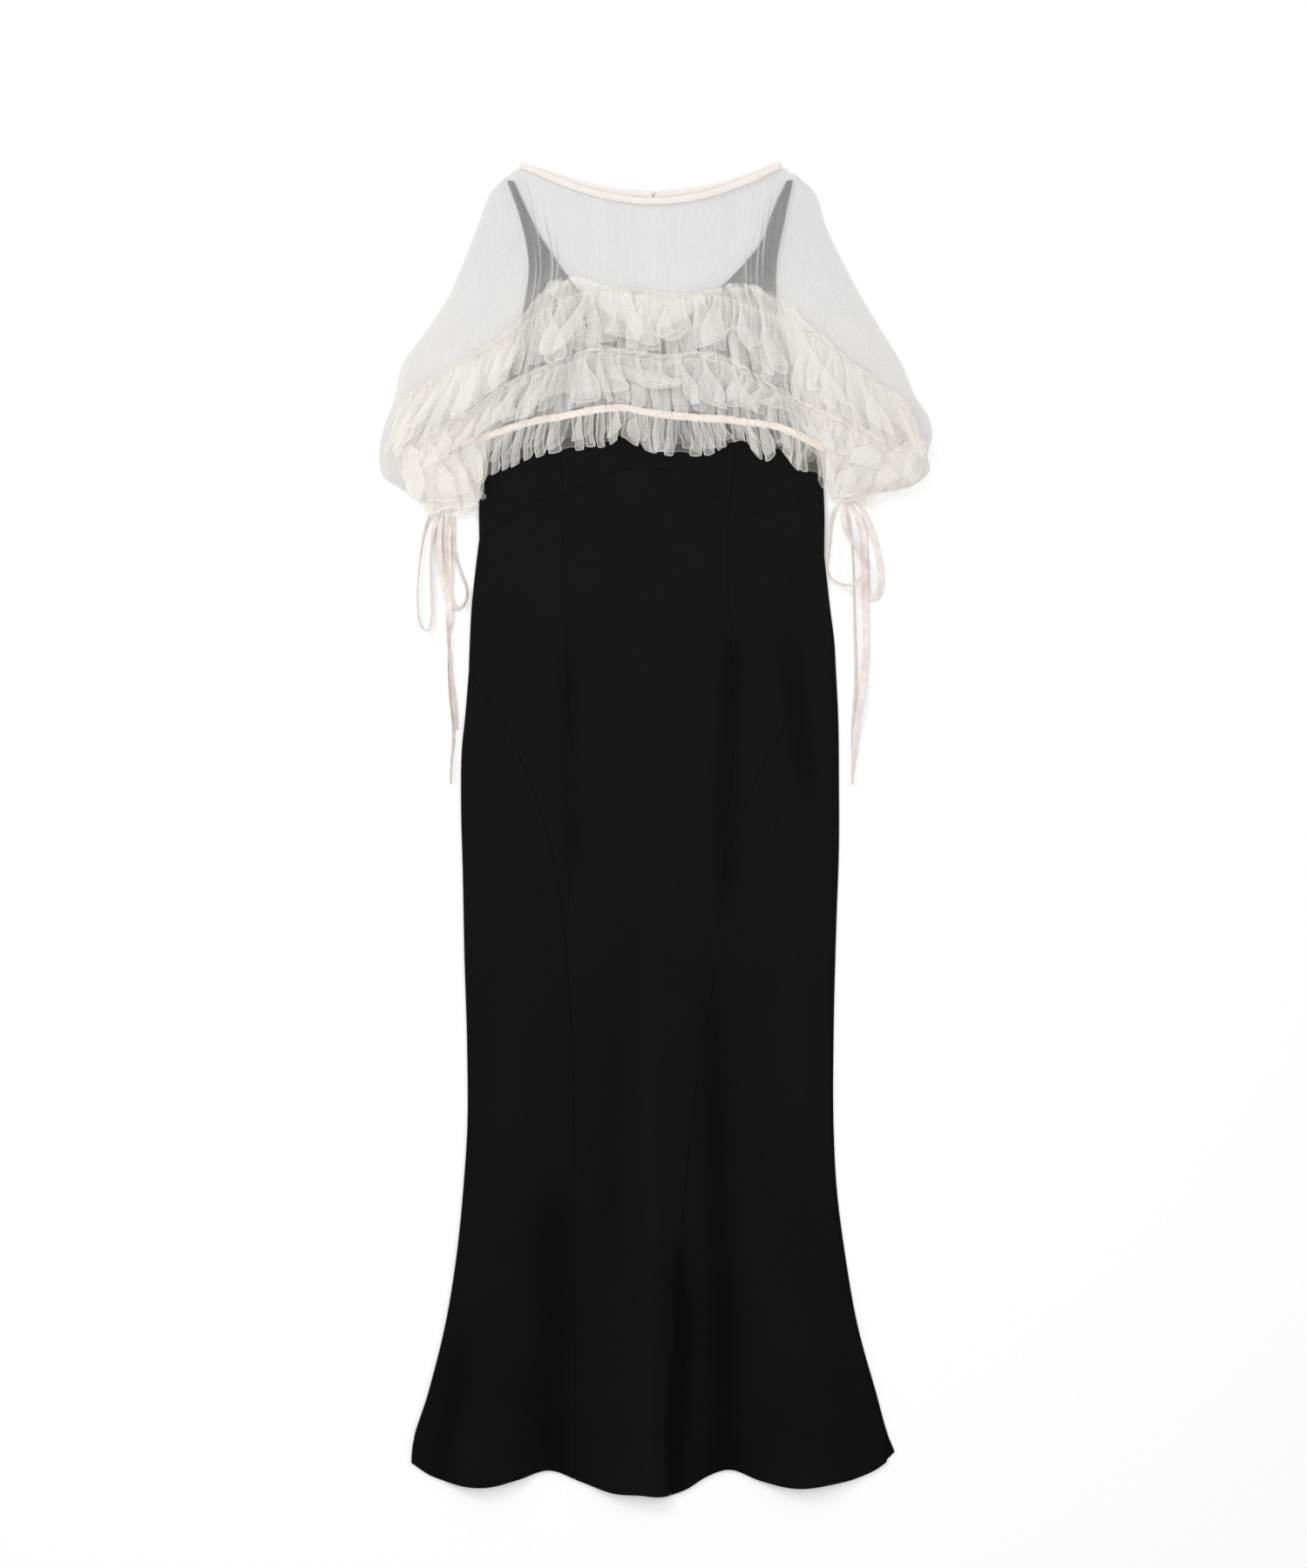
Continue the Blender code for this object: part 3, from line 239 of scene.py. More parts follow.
# Ribbons of the ties: across, down, height of the underside, tilt in degrees (90 is on edge)
TIES_LEFT = {
    "loop_outer": [
        (-243.8, 380, 0, 0), (-254, 391, 0, 35), (-262, 412, 0, 65), (-267, 440, 0, 74),
        (-270, 470, 0, 76), (-270, 499, 0, 76), (-268.5, 512, 0, 76), (-265, 521, 0, 76),
        (-260, 524, 0, 76), (-256, 515, 0, 76), (-255, 490, 0, 74), (-256, 460, 0, 72),
        (-255.5, 430, 0, 70), (-250.5, 403, 0, 40), (-242.6, 384.6, 0, 0),
    ],
    "loop_inner": [
        (-230.7, 380, 0, 0), (-229, 401, 0, 40), (-228, 429, 0, 58), (-225, 443, 0, 60),
        (-219, 461, 0, 58), (-214, 475, 0, 62), (-214, 488, 0, 66), (-219, 497, 0, 60),
        (-226, 499.5, 0, 50), (-232.5, 490, 0, 35), (-234, 459, 0, 30), (-235, 420, 0, 30),
        (-234.5, 384.8, 0, 0),
    ],
    "tail_short": [
        (-240.4, 384.8, 2.6, 0), (-245, 405, 2.6, 0), (-246, 420, 2.6, 0), (-240, 468, 2.6, 0),
        (-234, 498, 2.6, 0), (-233, 516, 2.6, 35), (-235, 530, 2.6, 62), (-234, 545, 2.0, 60),
        (-231, 580, 1.3, 56), (-227, 610, 1.3, 50), (-225.5, 638, 1.3, 52),
    ],
    "tail_long": [
        (-237.4, 384.8, 1.3, 0), (-237.8, 405, 1.3, 30), (-237, 445, 1.3, 36), (-234.5, 500, 1.3, 10),
        (-234.3, 540, 0.2, 58), (-234, 580, 0, 66), (-232.2, 610, 0, 66), (-229.5, 632, 0, 60),
        (-229, 651, 0, 60), (-231, 671, 0, 66), (-232.5, 700, 0, 70),
    ],
}
TIES_RIGHT = {
    "loop_outer": [
        (215.7, 374, 3.0, 0), (206, 392, 7.4, 40), (202.5, 420, 7.4, 60), (200.5, 442, 7.4, 65),
        (199.5, 454, 7.4, 65), (203, 464, 7.4, 65), (211, 470, 7.4, 65), (222, 472.6, 7.4, 65),
        (233, 469, 7.4, 65), (239.5, 460, 7.4, 65), (240, 450, 7.4, 65), (235, 436, 7.4, 65),
        (227, 422, 7.4, 60), (220, 406, 7.4, 50), (217.5, 390, 5.0, 20), (218, 378.8, 3.0, 0),
    ],
    "loop_inner": [
        (231.2, 375.6, 0, 0), (241, 388, 0, 0), (248, 404, 0, 0), (256, 430, 0, 0), (261, 454, 0, 10),
        (261, 475, 0, 20), (256.7, 485.6, 0, 25), (250.5, 487, 0, 2), (246, 478, 0, 0), (245, 462, 0, 0),
        (244, 444, 0, 0), (239, 409, 0, 0), (228.6, 379.9, 0, 0),
    ],
    "tail_short": [
        (221.6, 378.8, 0, 0), (224, 395, 0, 45), (227, 415, 0, 65), (229, 440, 0, 65), (230, 468, 0, 65),
        (231, 510, 0, 60), (232.4, 557, 0, 55), (232.4, 598, 0, 40), (231, 621, 0, 20), (230, 661, 0, 0),
    ],
    "tail_long": [
        (225.0, 379.6, 1.3, 0), (233, 391, 1.3, 0), (239.5, 406, 1.3, 0), (241.8, 421, 1.3, 0),
        (242.4, 446, 1.3, 0), (243, 491, 1.3, 0), (243.7, 538, 1.3, 0), (241.8, 574, 2.0, 0),
        (236.6, 609, 5.2, 0), (232, 640, 3.0, 10), (230.5, 666, 1.3, 30), (229.4, 680, 0.6, 50),
        (228, 701, 0, 70),
    ],
}
# Width of a ribbon in its knot, and how far from the knot it opens out
RIBBON_PINCH = 1.8
RIBBON_OPENS = 24.0

# Section of a ribbon, with thicker edges: place across as a share of half its width, height
RIBBON_PROFILE = [
    (1.0, 0.1), (0.9, 0.26), (0.72, 0.16), (0.0, 0.26), (-0.72, 0.16), (-0.9, 0.26), (-1.0, 0.1),
    (-1.0, -0.1), (-0.9, -0.26), (0.0, -0.1), (0.9, -0.26), (1.0, -0.1), (1.0, 0.1),
]

# Knots: across, down, length across, length down, height
KNOT_LEFT = (-237.4, 381.6, 12.0, 5.6, 3.9)
KNOT_RIGHT = (223.2, 375.0, 14.0, 6.8, 3.8)

# Hook and eye on the back binding: across, down, height; their wires' routes from there: across, down
HOOK = (0.0, 23.2, 0.9)
WIRE_RADIUS = 0.32
EYE_WIRE = [
    (-2.9, -1.0), (-2.2, -1.2), (-1.8, -0.4), (-1.0, 0.9), (0.2, 1.1), (0.7, 0.0), (0.2, -1.1),
    (-1.0, -0.9), (-1.8, 0.4), (-2.2, 1.2), (-2.9, 1.0),
]
HOOK_WIRE = [
    (2.9, -0.9), (2.3, -1.2), (1.9, -0.4), (1.0, -0.35), (0.2, -0.3), (0.0, 0.0), (0.2, 0.3),
    (1.0, 0.35), (1.9, 0.4), (2.3, 1.2), (2.9, 0.9),
]

# Camera, floor and lamps, in metres; a lamp: name, size, power, place
CAMERA_LENS = 85.0
CAMERA_SENSOR = 36.0
CAMERA_SEES = 1.8
CAMERA_OVER = (-0.0025, 0.0515)
FLOOR_HALF = 4.0
FLOOR_LEVEL = -0.0006
FLOOR_COLOUR = (0.97, 0.97, 0.97, 1)
LAMPS = (("overhead", 2.6, 26, (0.0, 0.1, 2.9)), ("upper_left", 1.1, 26, (-1.9, 1.9, 1.9)))
WORLD_STRENGTH = 0.72

# Soft creases of the crepe: top across, top down, foot across, foot down, half width, depth
# (a trough is negative), how many millimetres it takes to fade in and out
CREASES = [
    (-97, 505, -94, 820, 13, -2.2, 60),
    (88, 500, 82, 860, 14, -3.4, 60),
    (150, 500, 178, 740, 15, -3.0, 60),
    (-150, 470, -172, 600, 18, -1.0, 50),
    (34, 1180, 26, 1540, 11, -4.4, 120),
    (-108, 1100, -122, 1540, 22, -2.4, 120),
    (68, 860, 82, 1540, 18, -3.2, 160),
    (-4, 820, -4, 1540, 12, 1.5, 160),
    (-214, 1290, -246, 1540, 15, -2.2, 110),
    (-150, 760, -176, 1180, 16, 1.2, 110),
    (150, 760, 168, 1150, 16, 1.1, 110),
    (-40, 900, -52, 1300, 20, -1.4, 120),
]

# Painted shade of the crepe at each distance down, darker towards the hem as the light falls off: 0 deep
# black, 1 its palest
CREPE_SHADE_DOWN = [(480, 0.74), (800, 0.66), (1100, 0.52), (1400, 0.36), (1540, 0.33)]

# Strips of the tulle pleats: place along the pleat laid open, place along it folded, height
KNIFE_PLEAT = [
    (0.0, 0.0, 0.0), (0.42, 0.42, 0.25), (0.62, 0.80, 0.7), (0.72, 0.97, 1.0), (0.80, 0.92, 0.75),
    (0.90, 0.84, 0.35),
]


def ramp(value, start, end):
    """0 at the start, 1 at the end, with soft corners."""
    part = np.clip((value - start) / (end - start), 0, 1)
    return part * part * (3 - 2 * part)


def smooth(knots, values, at):
    """A smooth curve through the values at the knots, read at other places."""
    knots = np.asarray(knots, float)
    values = np.asarray(values, float).reshape(len(knots), -1)
    slopes = np.gradient(values, knots, axis=0)
    flat = np.ravel(at)
    left = np.clip(np.searchsorted(knots, flat, side="right") - 1, 0, len(knots) - 2)
    step = (knots[left + 1] - knots[left])[:, None]
    part = (flat - knots[left])[:, None] / step
    before = (1 + 2 * part) * (1 - part) ** 2 * values[left]
    after = part ** 2 * (3 - 2 * part) * values[left + 1]
    leaving = part * (1 - part) ** 2 * step * slopes[left]
    arriving = part ** 2 * (part - 1) * step * slopes[left + 1]
    return before + after + leaving + arriving


def route(rows, fractions):
    """Points at these fractions of a smooth curve through rows whose first two columns are its path."""
    rows = np.array(rows, float)
    steps = np.hypot(*np.diff(rows[:, :2], axis=0).T)
    return smooth(np.append(0, np.cumsum(steps)), rows, np.asarray(fractions) * steps.sum())


def height_at(table, at):
    """Second column of a table against its first, held at the table's ends."""
    table = np.array(table, float)
    at = np.clip(at, table[0, 0], table[-1, 0])
    return smooth(table[:, 0], table[:, 1], at).reshape(np.shape(at))


def across_at(edge, down):
    """How far across an edge lies at each distance down."""
    edge = np.array(edge, float)
    return height_at(edge[:, ::-1], down)


def down_line(table, start, end, fractions):
    """Points along a seam or hem that is known by its distance down at each place across."""
    across = start + (end - start) * fractions
    return np.column_stack([across, height_at(table, across)])


def joined(*lines):
    """Lines that follow each other, with the point they share taken once."""
    return np.concatenate([lines[0]] + [line[1:] for line in lines[1:]])


def patch(top, right, bottom, left, across, down):
    """A grid of points that fills four edges: top and bottom run across, left and right run down."""
    u = across[None, :, None]
    v = down[:, None, None]
    ruled = (1 - v) * top[None] + v * bottom[None] + (1 - u) * left[:, None] + u * right[:, None]
    first = (1 - u) * top[0] + u * top[-1]
    last = (1 - u) * bottom[0] + u * bottom[-1]
    return ruled - (1 - v) * first - v * last


def sideways(line):
    """Unit vectors square to a line, to its right as it runs over the floor."""
    along = np.gradient(line, axis=0)
    normal = np.column_stack([-along[:, 1], along[:, 0]])
    return normal / np.maximum(np.linalg.norm(normal, axis=1, keepdims=True), 1e-9)


def paced(rows, fractions):
    """Points of a line, how far along it each of them lies, and the unit vectors square to it."""
    line = route([row[:2] for row in rows], fractions)
    at = fractions * np.hypot(*np.diff(line, axis=0).T).sum()
    return line, at, sideways(line)


def drawn_in(grid):
    """The same grid with its four edges drawn in, so that two panels keep a gap at their seam."""
    moved = grid.copy()
    first, last = (np.s_[0], np.s_[1]), (np.s_[-1], np.s_[-2])
    left, right = (np.s_[:, 0], np.s_[:, 1]), (np.s_[:, -1], np.s_[:, -2])
    for edge, inner in (first, last, left, right):
        normal = sideways(grid[edge])
        inward = np.sign(((grid[inner] - grid[edge]) * normal).sum(axis=1, keepdims=True))
        moved[edge] += GAP / 2 * inward * normal
    return moved


def noise(x, y, seed):
    """Smooth wandering values between -1 and 1 over a plane, the same on every run."""
    x, y = np.broadcast_arrays(np.asarray(x, float), np.asarray(y, float))
    column, row = np.floor(x), np.floor(y)

    def corner(i, j):
        value = np.sin((column + i) * 127.1 + (row + j) * 311.7 + seed * 74.7) * 43758.5453
        return 2 * (value - np.floor(value)) - 1

    part_x, part_y = x - column, y - row
    part_x = part_x * part_x * (3 - 2 * part_x)
    part_y = part_y * part_y * (3 - 2 * part_y)
    near = corner(0, 0) * (1 - part_x) + corner(1, 0) * part_x
    far = corner(0, 1) * (1 - part_x) + corner(1, 1) * part_x
    return near * (1 - part_y) + far * part_y


def placed(points):
    """Points of the tables as places in the frame, in metres."""
    points = np.asarray(points, float)
    across = points[..., 0] - MIDDLE_ACROSS
    up = MIDDLE_DOWN - points[..., 1]
    return np.stack([across, up, points[..., 2]], axis=-1) * MM


def laid_open(grid):
    """Distances along the cloth from its left edge and from its top edge, in the grid's own unit."""
    across = np.linalg.norm(np.diff(grid, axis=1), axis=2)
    down = np.linalg.norm(np.diff(grid, axis=0), axis=2)
    from_left = np.pad(np.cumsum(across, axis=1), ((0, 0), (1, 0)))
    from_top = np.pad(np.cumsum(down, axis=0), ((1, 0), (0, 0)))
    return np.stack([from_left, from_top], axis=-1)


def edge_distance(grid):
    """How far each point of a grid lies from the nearest of its four edges, measured along the cloth."""
    start = laid_open(grid)
    from_left, from_top = start[:, :, 0], start[:, :, 1]
    from_right = from_left[:, -1:] - from_left
    from_bottom = from_top[-1:] - from_top
    return np.minimum(np.minimum(from_left, from_right), np.minimum(from_top, from_bottom))


def finished(name, mesh, material, nodes):
    """Puts a mesh in the scene as a piece that stands for the frame's nodes."""
    mesh.materials.append(material)
    piece = bpy.data.objects.new(name, mesh)
    bpy.context.scene.collection.objects.link(piece)
    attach(piece, "root")
    if nodes:
        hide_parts(*nodes)
    return piece


def quads(rows, columns):
    """Corner numbers of the faces of a grid."""
    number = np.arange(rows * columns).reshape(rows, columns)
    corners = [number[:-1, :-1], number[1:, :-1], number[1:, 1:], number[:-1, 1:]]
    return np.stack(corners, axis=-1).reshape(-1, 4)


def mesh_of(name, points, faces, uv, values):
    """A smooth mesh from points and uv in metres, four-cornered faces and a value for each point."""
    mesh = bpy.data.meshes.new(name)
    mesh.from_pydata(points.reshape(-1, 3).tolist(), [], faces.tolist())
    layer = mesh.uv_layers.new(name="cloth")
    layer.data.foreach_set("uv", uv.reshape(-1, 2)[faces.ravel()].astype(np.float32).ravel())
    for title, numbers in values.items():
        attribute = mesh.attributes.new(title, "FLOAT", "POINT")
        attribute.data.foreach_set("value", np.ascontiguousarray(numbers, np.float32).ravel())
    mesh.shade_smooth()
    return mesh


def sheer(name, grid, height, material, nodes, cover, warm):
    """A single layer of net over a grid of (across, down) points at these heights."""
    points = placed(np.dstack([grid, height]))
    shape = grid.shape[:2]
    values = {"cover": np.broadcast_to(cover, shape), "warm": np.broadcast_to(warm, shape)}
    mesh = mesh_of(name, points, quads(*shape), laid_open(points), values)
    return finished(name, mesh, material, nodes)


def shell(name, grid, top, thickness, material, node, tone=None):
    """A closed thin wall over a grid of (across, down) points, with its upper face at these heights."""
    rows, columns = grid.shape[:2]
    upper = placed(np.dstack([grid, top]))
    lower = placed(np.dstack([grid, top - thickness]))
    faces = quads(rows, columns)
    count = rows * columns
    number = np.arange(count).reshape(rows, columns)
    loop = np.concatenate([number[:, 0], number[-1, 1:], number[-2::-1, -1], number[0, -2:0:-1]])
    following = np.roll(loop, -1)
    rim = np.stack([following, loop, loop + count, following + count], axis=-1)
    points = np.concatenate([upper.reshape(-1, 3), lower.reshape(-1, 3)])
    every = np.concatenate([faces, faces[:, ::-1] + count, rim])
    uv = laid_open(upper).reshape(-1, 2)
    values = {} if tone is None else {"tone": np.tile(tone.ravel(), 2)}
    mesh = mesh_of(name, points, every, np.concatenate([uv, uv]), values)
    return finished(name, mesh, material, [node])


def tube(name, rings, material, nodes):
    """A surface through rings of (across, down, height) points."""
    points = placed(np.array(rings))
    faces = quads(*points.shape[:2])[:, ::-1]
    return finished(name, mesh_of(name, points, faces, laid_open(points), {}), material, nodes)


# Linear colours
CREPE_DEEP = (0.0012, 0.0012, 0.0014)
CREPE_PALE = (0.0080, 0.0079, 0.0080)
TULLE_COOL = (0.56, 0.56, 0.575)
TULLE_WARM = (0.68, 0.665, 0.64)
RUFFLE_PALE = (0.93, 0.925, 0.905)
RUFFLE_WARM = (0.95, 0.915, 0.865)
TAPE_PALE = (0.92, 0.84, 0.77)
TAPE_WARM = (0.88, 0.74, 0.65)
BINDING_PALE = (0.84, 0.79, 0.775)
BINDING_WARM = (0.82, 0.75, 0.73)
RIBBON_PALE = (0.92, 0.85, 0.82)
RIBBON_DEEP = (0.72, 0.62, 0.58)
THREAD = (0.95, 0.89, 0.79)
METAL = (0.66, 0.63, 0.62)
METAL_WORN = (0.80, 0.78, 0.77)

# Nets. thin and thick: colours of its flat parts and of its folds, where the paler thick colour is partly a
# # painted highlight; layer: how much one layer hides; levelling: how near the level its shading keeps;
# # lets_through: share of the lamps' light that passes it; steepest: the least that the slope of a fold
# # counts as; streaky: how uneven its threads are
Net = namedtuple("Net", "name thin thick layer levelling lets_through steepest streaky")
SLEEVE_NET = Net("ivory_tulle", TULLE_COOL, TULLE_WARM, 0.30, 1.8, 0.94, 0.7, 0.3)
RUFFLE_NET = Net("ruffle_tulle", RUFFLE_PALE, RUFFLE_WARM, 0.42, 0.9, 0.35, 0.28, 0.7)
NET_CELLS = 850

# Trims: name, pale colour, deep colour, roughness, sheen, ribs
TAPE_LOOK = ("peach_tape", TAPE_PALE, TAPE_WARM, 0.7, 0.1, 500)
THREAD_LOOK = ("gather_thread", THREAD, TAPE_PALE, 0.7, 0.1, 900)
BINDING_LOOK = ("neck_binding", BINDING_PALE, BINDING_WARM, 0.6, 0.1, 400)
RIBBON_LOOK = ("tie_ribbon", RIBBON_PALE, RIBBON_DEEP, 0.42, 0.15, 600)


class Nodes:
    """Short calls for building a material's nodes."""

    def __init__(self, name, roughness, specular, sheen=0.0):
        self.material = bpy.data.materials.new(name)
        self.material.use_nodes = True
        self.tree = self.material.node_tree
        self.surface = self.tree.nodes["Principled BSDF"]
        self.surface.inputs["Roughness"].default_value = roughness
        self.surface.inputs["Specular IOR Level"].default_value = specular
        self.surface.inputs["Sheen Weight"].default_value = sheen
        self.surface.inputs["Sheen Roughness"].default_value = 0.5
        self.surface.inputs["Sheen Tint"].default_value = (1, 1, 1, 1)

    def add(self, kind, **settings):
        node = self.tree.nodes.new(kind)
        for key, value in settings.items():
            setattr(node, key, value)
        return node

    def link(self, output, target):
        self.tree.links.new(output, target)

    def maths(self, operation, first, second=None):
        node = self.add("ShaderNodeMath", operation=operation)
        for index, value in enumerate((first, second)):
            if value is None:
                continue
            if isinstance(value, (int, float)):
                node.inputs[index].default_value = value
            else:
                self.link(value, node.inputs[index])
        return node.outputs[0]

    def value(self, title):
        """The value that the mesh holds for each of its points under this name."""
        return self.add("ShaderNodeAttribute", attribute_name=title).outputs["Fac"]

    def coordinates(self):
        return self.add("ShaderNodeUVMap", uv_map="cloth").outputs["UV"]

    def place(self):
        return self.add("ShaderNodeTexCoord").outputs["Object"]

    def noise(self, where, scale, detail=2.0, stretch=(1, 1, 1)):
        mapping = self.add("ShaderNodeMapping")
        mapping.inputs["Scale"].default_value = stretch
        self.link(where, mapping.inputs["Vector"])
        node = self.add("ShaderNodeTexNoise")
        node.inputs["Scale"].default_value = scale
        node.inputs["Detail"].default_value = detail
        self.link(mapping.outputs["Vector"], node.inputs["Vector"])
        return node.outputs["Fac"]

    def blend(self, first, second, factor):
        node = self.add("ShaderNodeMix", data_type="RGBA")
        for socket, value in ((node.inputs["A"], first), (node.inputs["B"], second)):
            if isinstance(value, tuple):
                socket.default_value = (*value, 1)
            else:
                self.link(value, socket)
        self.link(factor, node.inputs["Factor"])
        return node.outputs["Result"]

    def spread(self, value, low, high):
        node = self.add("ShaderNodeMapRange")
        node.inputs["From Min"].default_value = low
        node.inputs["From Max"].default_value = high
        self.link(value, node.inputs["Value"])
        return node.outputs["Result"]

    def bump(self, height, distance, strength=1.0, around=None):
        node = self.add("ShaderNodeBump")
        if around is not None:
            self.link(around, node.inputs["Normal"])
        node.inputs["Distance"].default_value = distance
        node.inputs["Strength"].default_value = strength
        self.link(height, node.inputs["Height"])
        self.link(node.outputs["Normal"], self.surface.inputs["Normal"])

    def colour(self, output):
        self.link(output, self.surface.inputs["Base Color"])


def crepe_material():
    """Matte black crepe: a fine pebbled weave, greyer at random where its nap stands, with painted shade from
    its mesh: paler on folds, darker in creases and down the skirt.
    """
    nodes = Nodes("black_crepe", 0.88, 0.06, sheen=0.008)
    where = nodes.coordinates()
    grain = nodes.noise(where, 900, 3)
    warp = nodes.noise(where, 260, 2, (1, 5, 1))
    weave = nodes.maths("ADD", grain, nodes.maths("MULTIPLY", warp, 0.6))
    wear = nodes.noise(nodes.place(), 9, 3)
    shade = nodes.maths("ADD", nodes.maths("MULTIPLY", wear, 0.3), nodes.maths("MULTIPLY", grain, 0.25))
    # the mesh's tone is painted shade: darker down the skirt and in creases, paler on folds
    tone = nodes.maths("ADD", nodes.value("tone"), nodes.maths("SUBTRACT", shade, 0.275))
    nodes.colour(nodes.blend(CREPE_DEEP, CREPE_PALE, nodes.spread(tone, 0.0, 1.0)))
    nodes.bump(weave, 0.0004, 0.5)
    return nodes.material


def net_material(look):
    """Soft net: it covers more where it stands on edge, at rims and at gathers, and its threads scatter
    light whichever way the cloth leans, so its shading keeps near the level. What it holds back of the
    lamps' light partly comes out below it. Its colour is painted paler and warmer on steep faces, a
    painted highlight along its fold edges."""
    nodes = Nodes(look.name, 0.85, 0.08, sheen=0.05)
    where = nodes.coordinates()
    cells = nodes.add("ShaderNodeTexVoronoi", feature="DISTANCE_TO_EDGE")
    cells.inputs["Scale"].default_value = NET_CELLS
    nodes.link(where, cells.inputs["Vector"])
    threads = nodes.spread(cells.outputs["Distance"], 0.32, 0.02)
    streaks = nodes.noise(where, 100, 2, (1, 0.06, 1))
    tint = nodes.noise(nodes.place(), 22, 3)
    uneven = nodes.maths("MULTIPLY", nodes.maths("SUBTRACT", tint, 0.5), 0.4)
    warmth_and_highlight = nodes.maths("ADD", nodes.value("warm"), uneven)
    facing = nodes.add("ShaderNodeNewGeometry").outputs["Normal"]
    parts = nodes.add("ShaderNodeSeparateXYZ")
    nodes.link(facing, parts.inputs["Vector"])
    steepness = nodes.maths("MAXIMUM", nodes.maths("ABSOLUTE", parts.outputs["Z"]), look.steepest)
    depth = nodes.maths("DIVIDE", nodes.value("cover"), steepness)
    streaks = nodes.maths("MULTIPLY", nodes.maths("SUBTRACT", streaks, 0.5), look.streaky)
    depth = nodes.maths("MULTIPLY", depth, nodes.maths("ADD", streaks, 0.76))
    depth = nodes.maths("MULTIPLY", depth, nodes.maths("ADD", nodes.maths("MULTIPLY", threads, 0.4), 0.78))
    # painted highlight: steep faces take the paler, warmer thick colour
    warmth_and_highlight = nodes.maths("ADD", warmth_and_highlight, nodes.spread(steepness, 0.9, 0.45))
    nodes.colour(nodes.blend(look.thin, look.thick, nodes.spread(warmth_and_highlight, 0.0, 1.0)))
    ray = nodes.add("ShaderNodeLightPath")
    lighting = nodes.maths("MAXIMUM", ray.outputs["Is Shadow Ray"], ray.outputs["Is Diffuse Ray"])
    kept = nodes.maths("SUBTRACT", 1.0, nodes.maths("MULTIPLY", lighting, look.lets_through))
    through = nodes.maths("POWER", 1 - look.layer, nodes.maths("MULTIPLY", depth, kept))
    nodes.link(nodes.maths("SUBTRACT", 1.0, through), nodes.surface.inputs["Alpha"])
    upward = nodes.maths("MULTIPLY", nodes.maths("SIGN", parts.outputs["Z"]), look.levelling)
    lift = nodes.add("ShaderNodeCombineXYZ")
    nodes.link(upward, lift.inputs["Z"])
    level = nodes.add("ShaderNodeVectorMath", operation="ADD")
    nodes.link(facing, level.inputs[0])
    nodes.link(lift.outputs["Vector"], level.inputs[1])
    unit = nodes.add("ShaderNodeVectorMath", operation="NORMALIZE")
    nodes.link(level.outputs["Vector"], unit.inputs[0])
    nodes.bump(threads, 0.0002, 0.3, unit.outputs["Vector"])
    return nodes.material


def trim_material(name, pale, deep, roughness, sheen, ribs):
    """Narrow woven trim: fine ribs across its length and a slight change of tone along it."""
    nodes = Nodes(name, roughness, 0.25, sheen=sheen)
    where = nodes.coordinates()
    rib = nodes.add("ShaderNodeTexWave", wave_type="BANDS", bands_direction="Y")
    rib.inputs["Scale"].default_value = ribs
    rib.inputs["Distortion"].default_value = 0.6
    nodes.link(where, rib.inputs["Vector"])
    tone = nodes.noise(nodes.place(), 90, 3)
    nodes.colour(nodes.blend(pale, deep, nodes.spread(tone, 0.25, 0.8)))
    nodes.bump(rib.outputs["Fac"], 0.0002, 0.4)
    return nodes.material


def metal_material():
    nodes = Nodes("hook_metal", 0.35, 0.5)
    nodes.surface.inputs["Metallic"].default_value = 1.0
    tone = nodes.noise(nodes.place(), 700, 2)
    nodes.colour(nodes.blend(METAL, METAL_WORN, tone))
    return nodes.material


def edged(count, edge=(0.004, 0.014, 0.035)):
    """Fractions from 0 to 1 with extra rows close to both ends, where a seam rolls in."""
    inner = np.linspace(edge[-1], 1 - edge[-1], count)
    return np.concatenate([[0], edge[:-1], inner, 1 - np.array(edge[-2::-1]), [1]])


def sheath_drop(down):
    """How far the black layers are held off the floor by the tulle under them."""
    return BACK_CREPE_HEIGHT * (1 - ramp(down, DROP_FROM, DROP_TO))


def skirt_folds(across, down):
    """Height of the soft folds of the skirt's front, which die away towards its sides."""
    height = np.zeros(across.shape)
    for top, start, foot, end, left, right, top_height, foot_height in SKIRT_FOLDS:
        part = np.clip((down - start) / (end - start), 0, 1)
        offset = across - (top + (foot - top) * part)
        width = np.where(offset < 0, left, right)
        profile = np.cos(np.pi / 2 * np.clip(np.abs(offset) / width, 0, 1)) ** 2
        crest = top_height + (foot_height - top_height) * part ** FOLD_GROWTH
        inside = ramp(down, start, start + FOLD_FADE)
        if foot_height == top_height:
            inside = inside * (1 - ramp(down, end - FOLD_FADE, end))
        height += crest * profile * inside
    left = across_at(joined(HIP_SIDE_LEFT, FLARE_SIDE_LEFT), down)
    right = across_at(joined(HIP_SIDE_RIGHT, FLARE_SIDE_RIGHT), down)
    return height * ramp(across - left, 0, SIDE_FADE) * ramp(right - across, 0, SIDE_FADE)


def creases(across, down):
    """Height of the long soft creases, each wandering a little as it runs."""
    height = np.zeros(across.shape)
    for top, start, foot, end, half, depth, fade in CREASES:
        part = np.clip((down - start) / (end - start), 0, 1)
        offset = across - (top + (foot - top) * part) - 3 * noise(down / 70, top, 5)
        reach = ramp(down, start, start + fade)
        if end < HEM_STARTS:
            reach = reach * (1 - ramp(down, end - fade, end))
        height += depth * np.exp(-(offset / half) ** 2) * reach
    return height


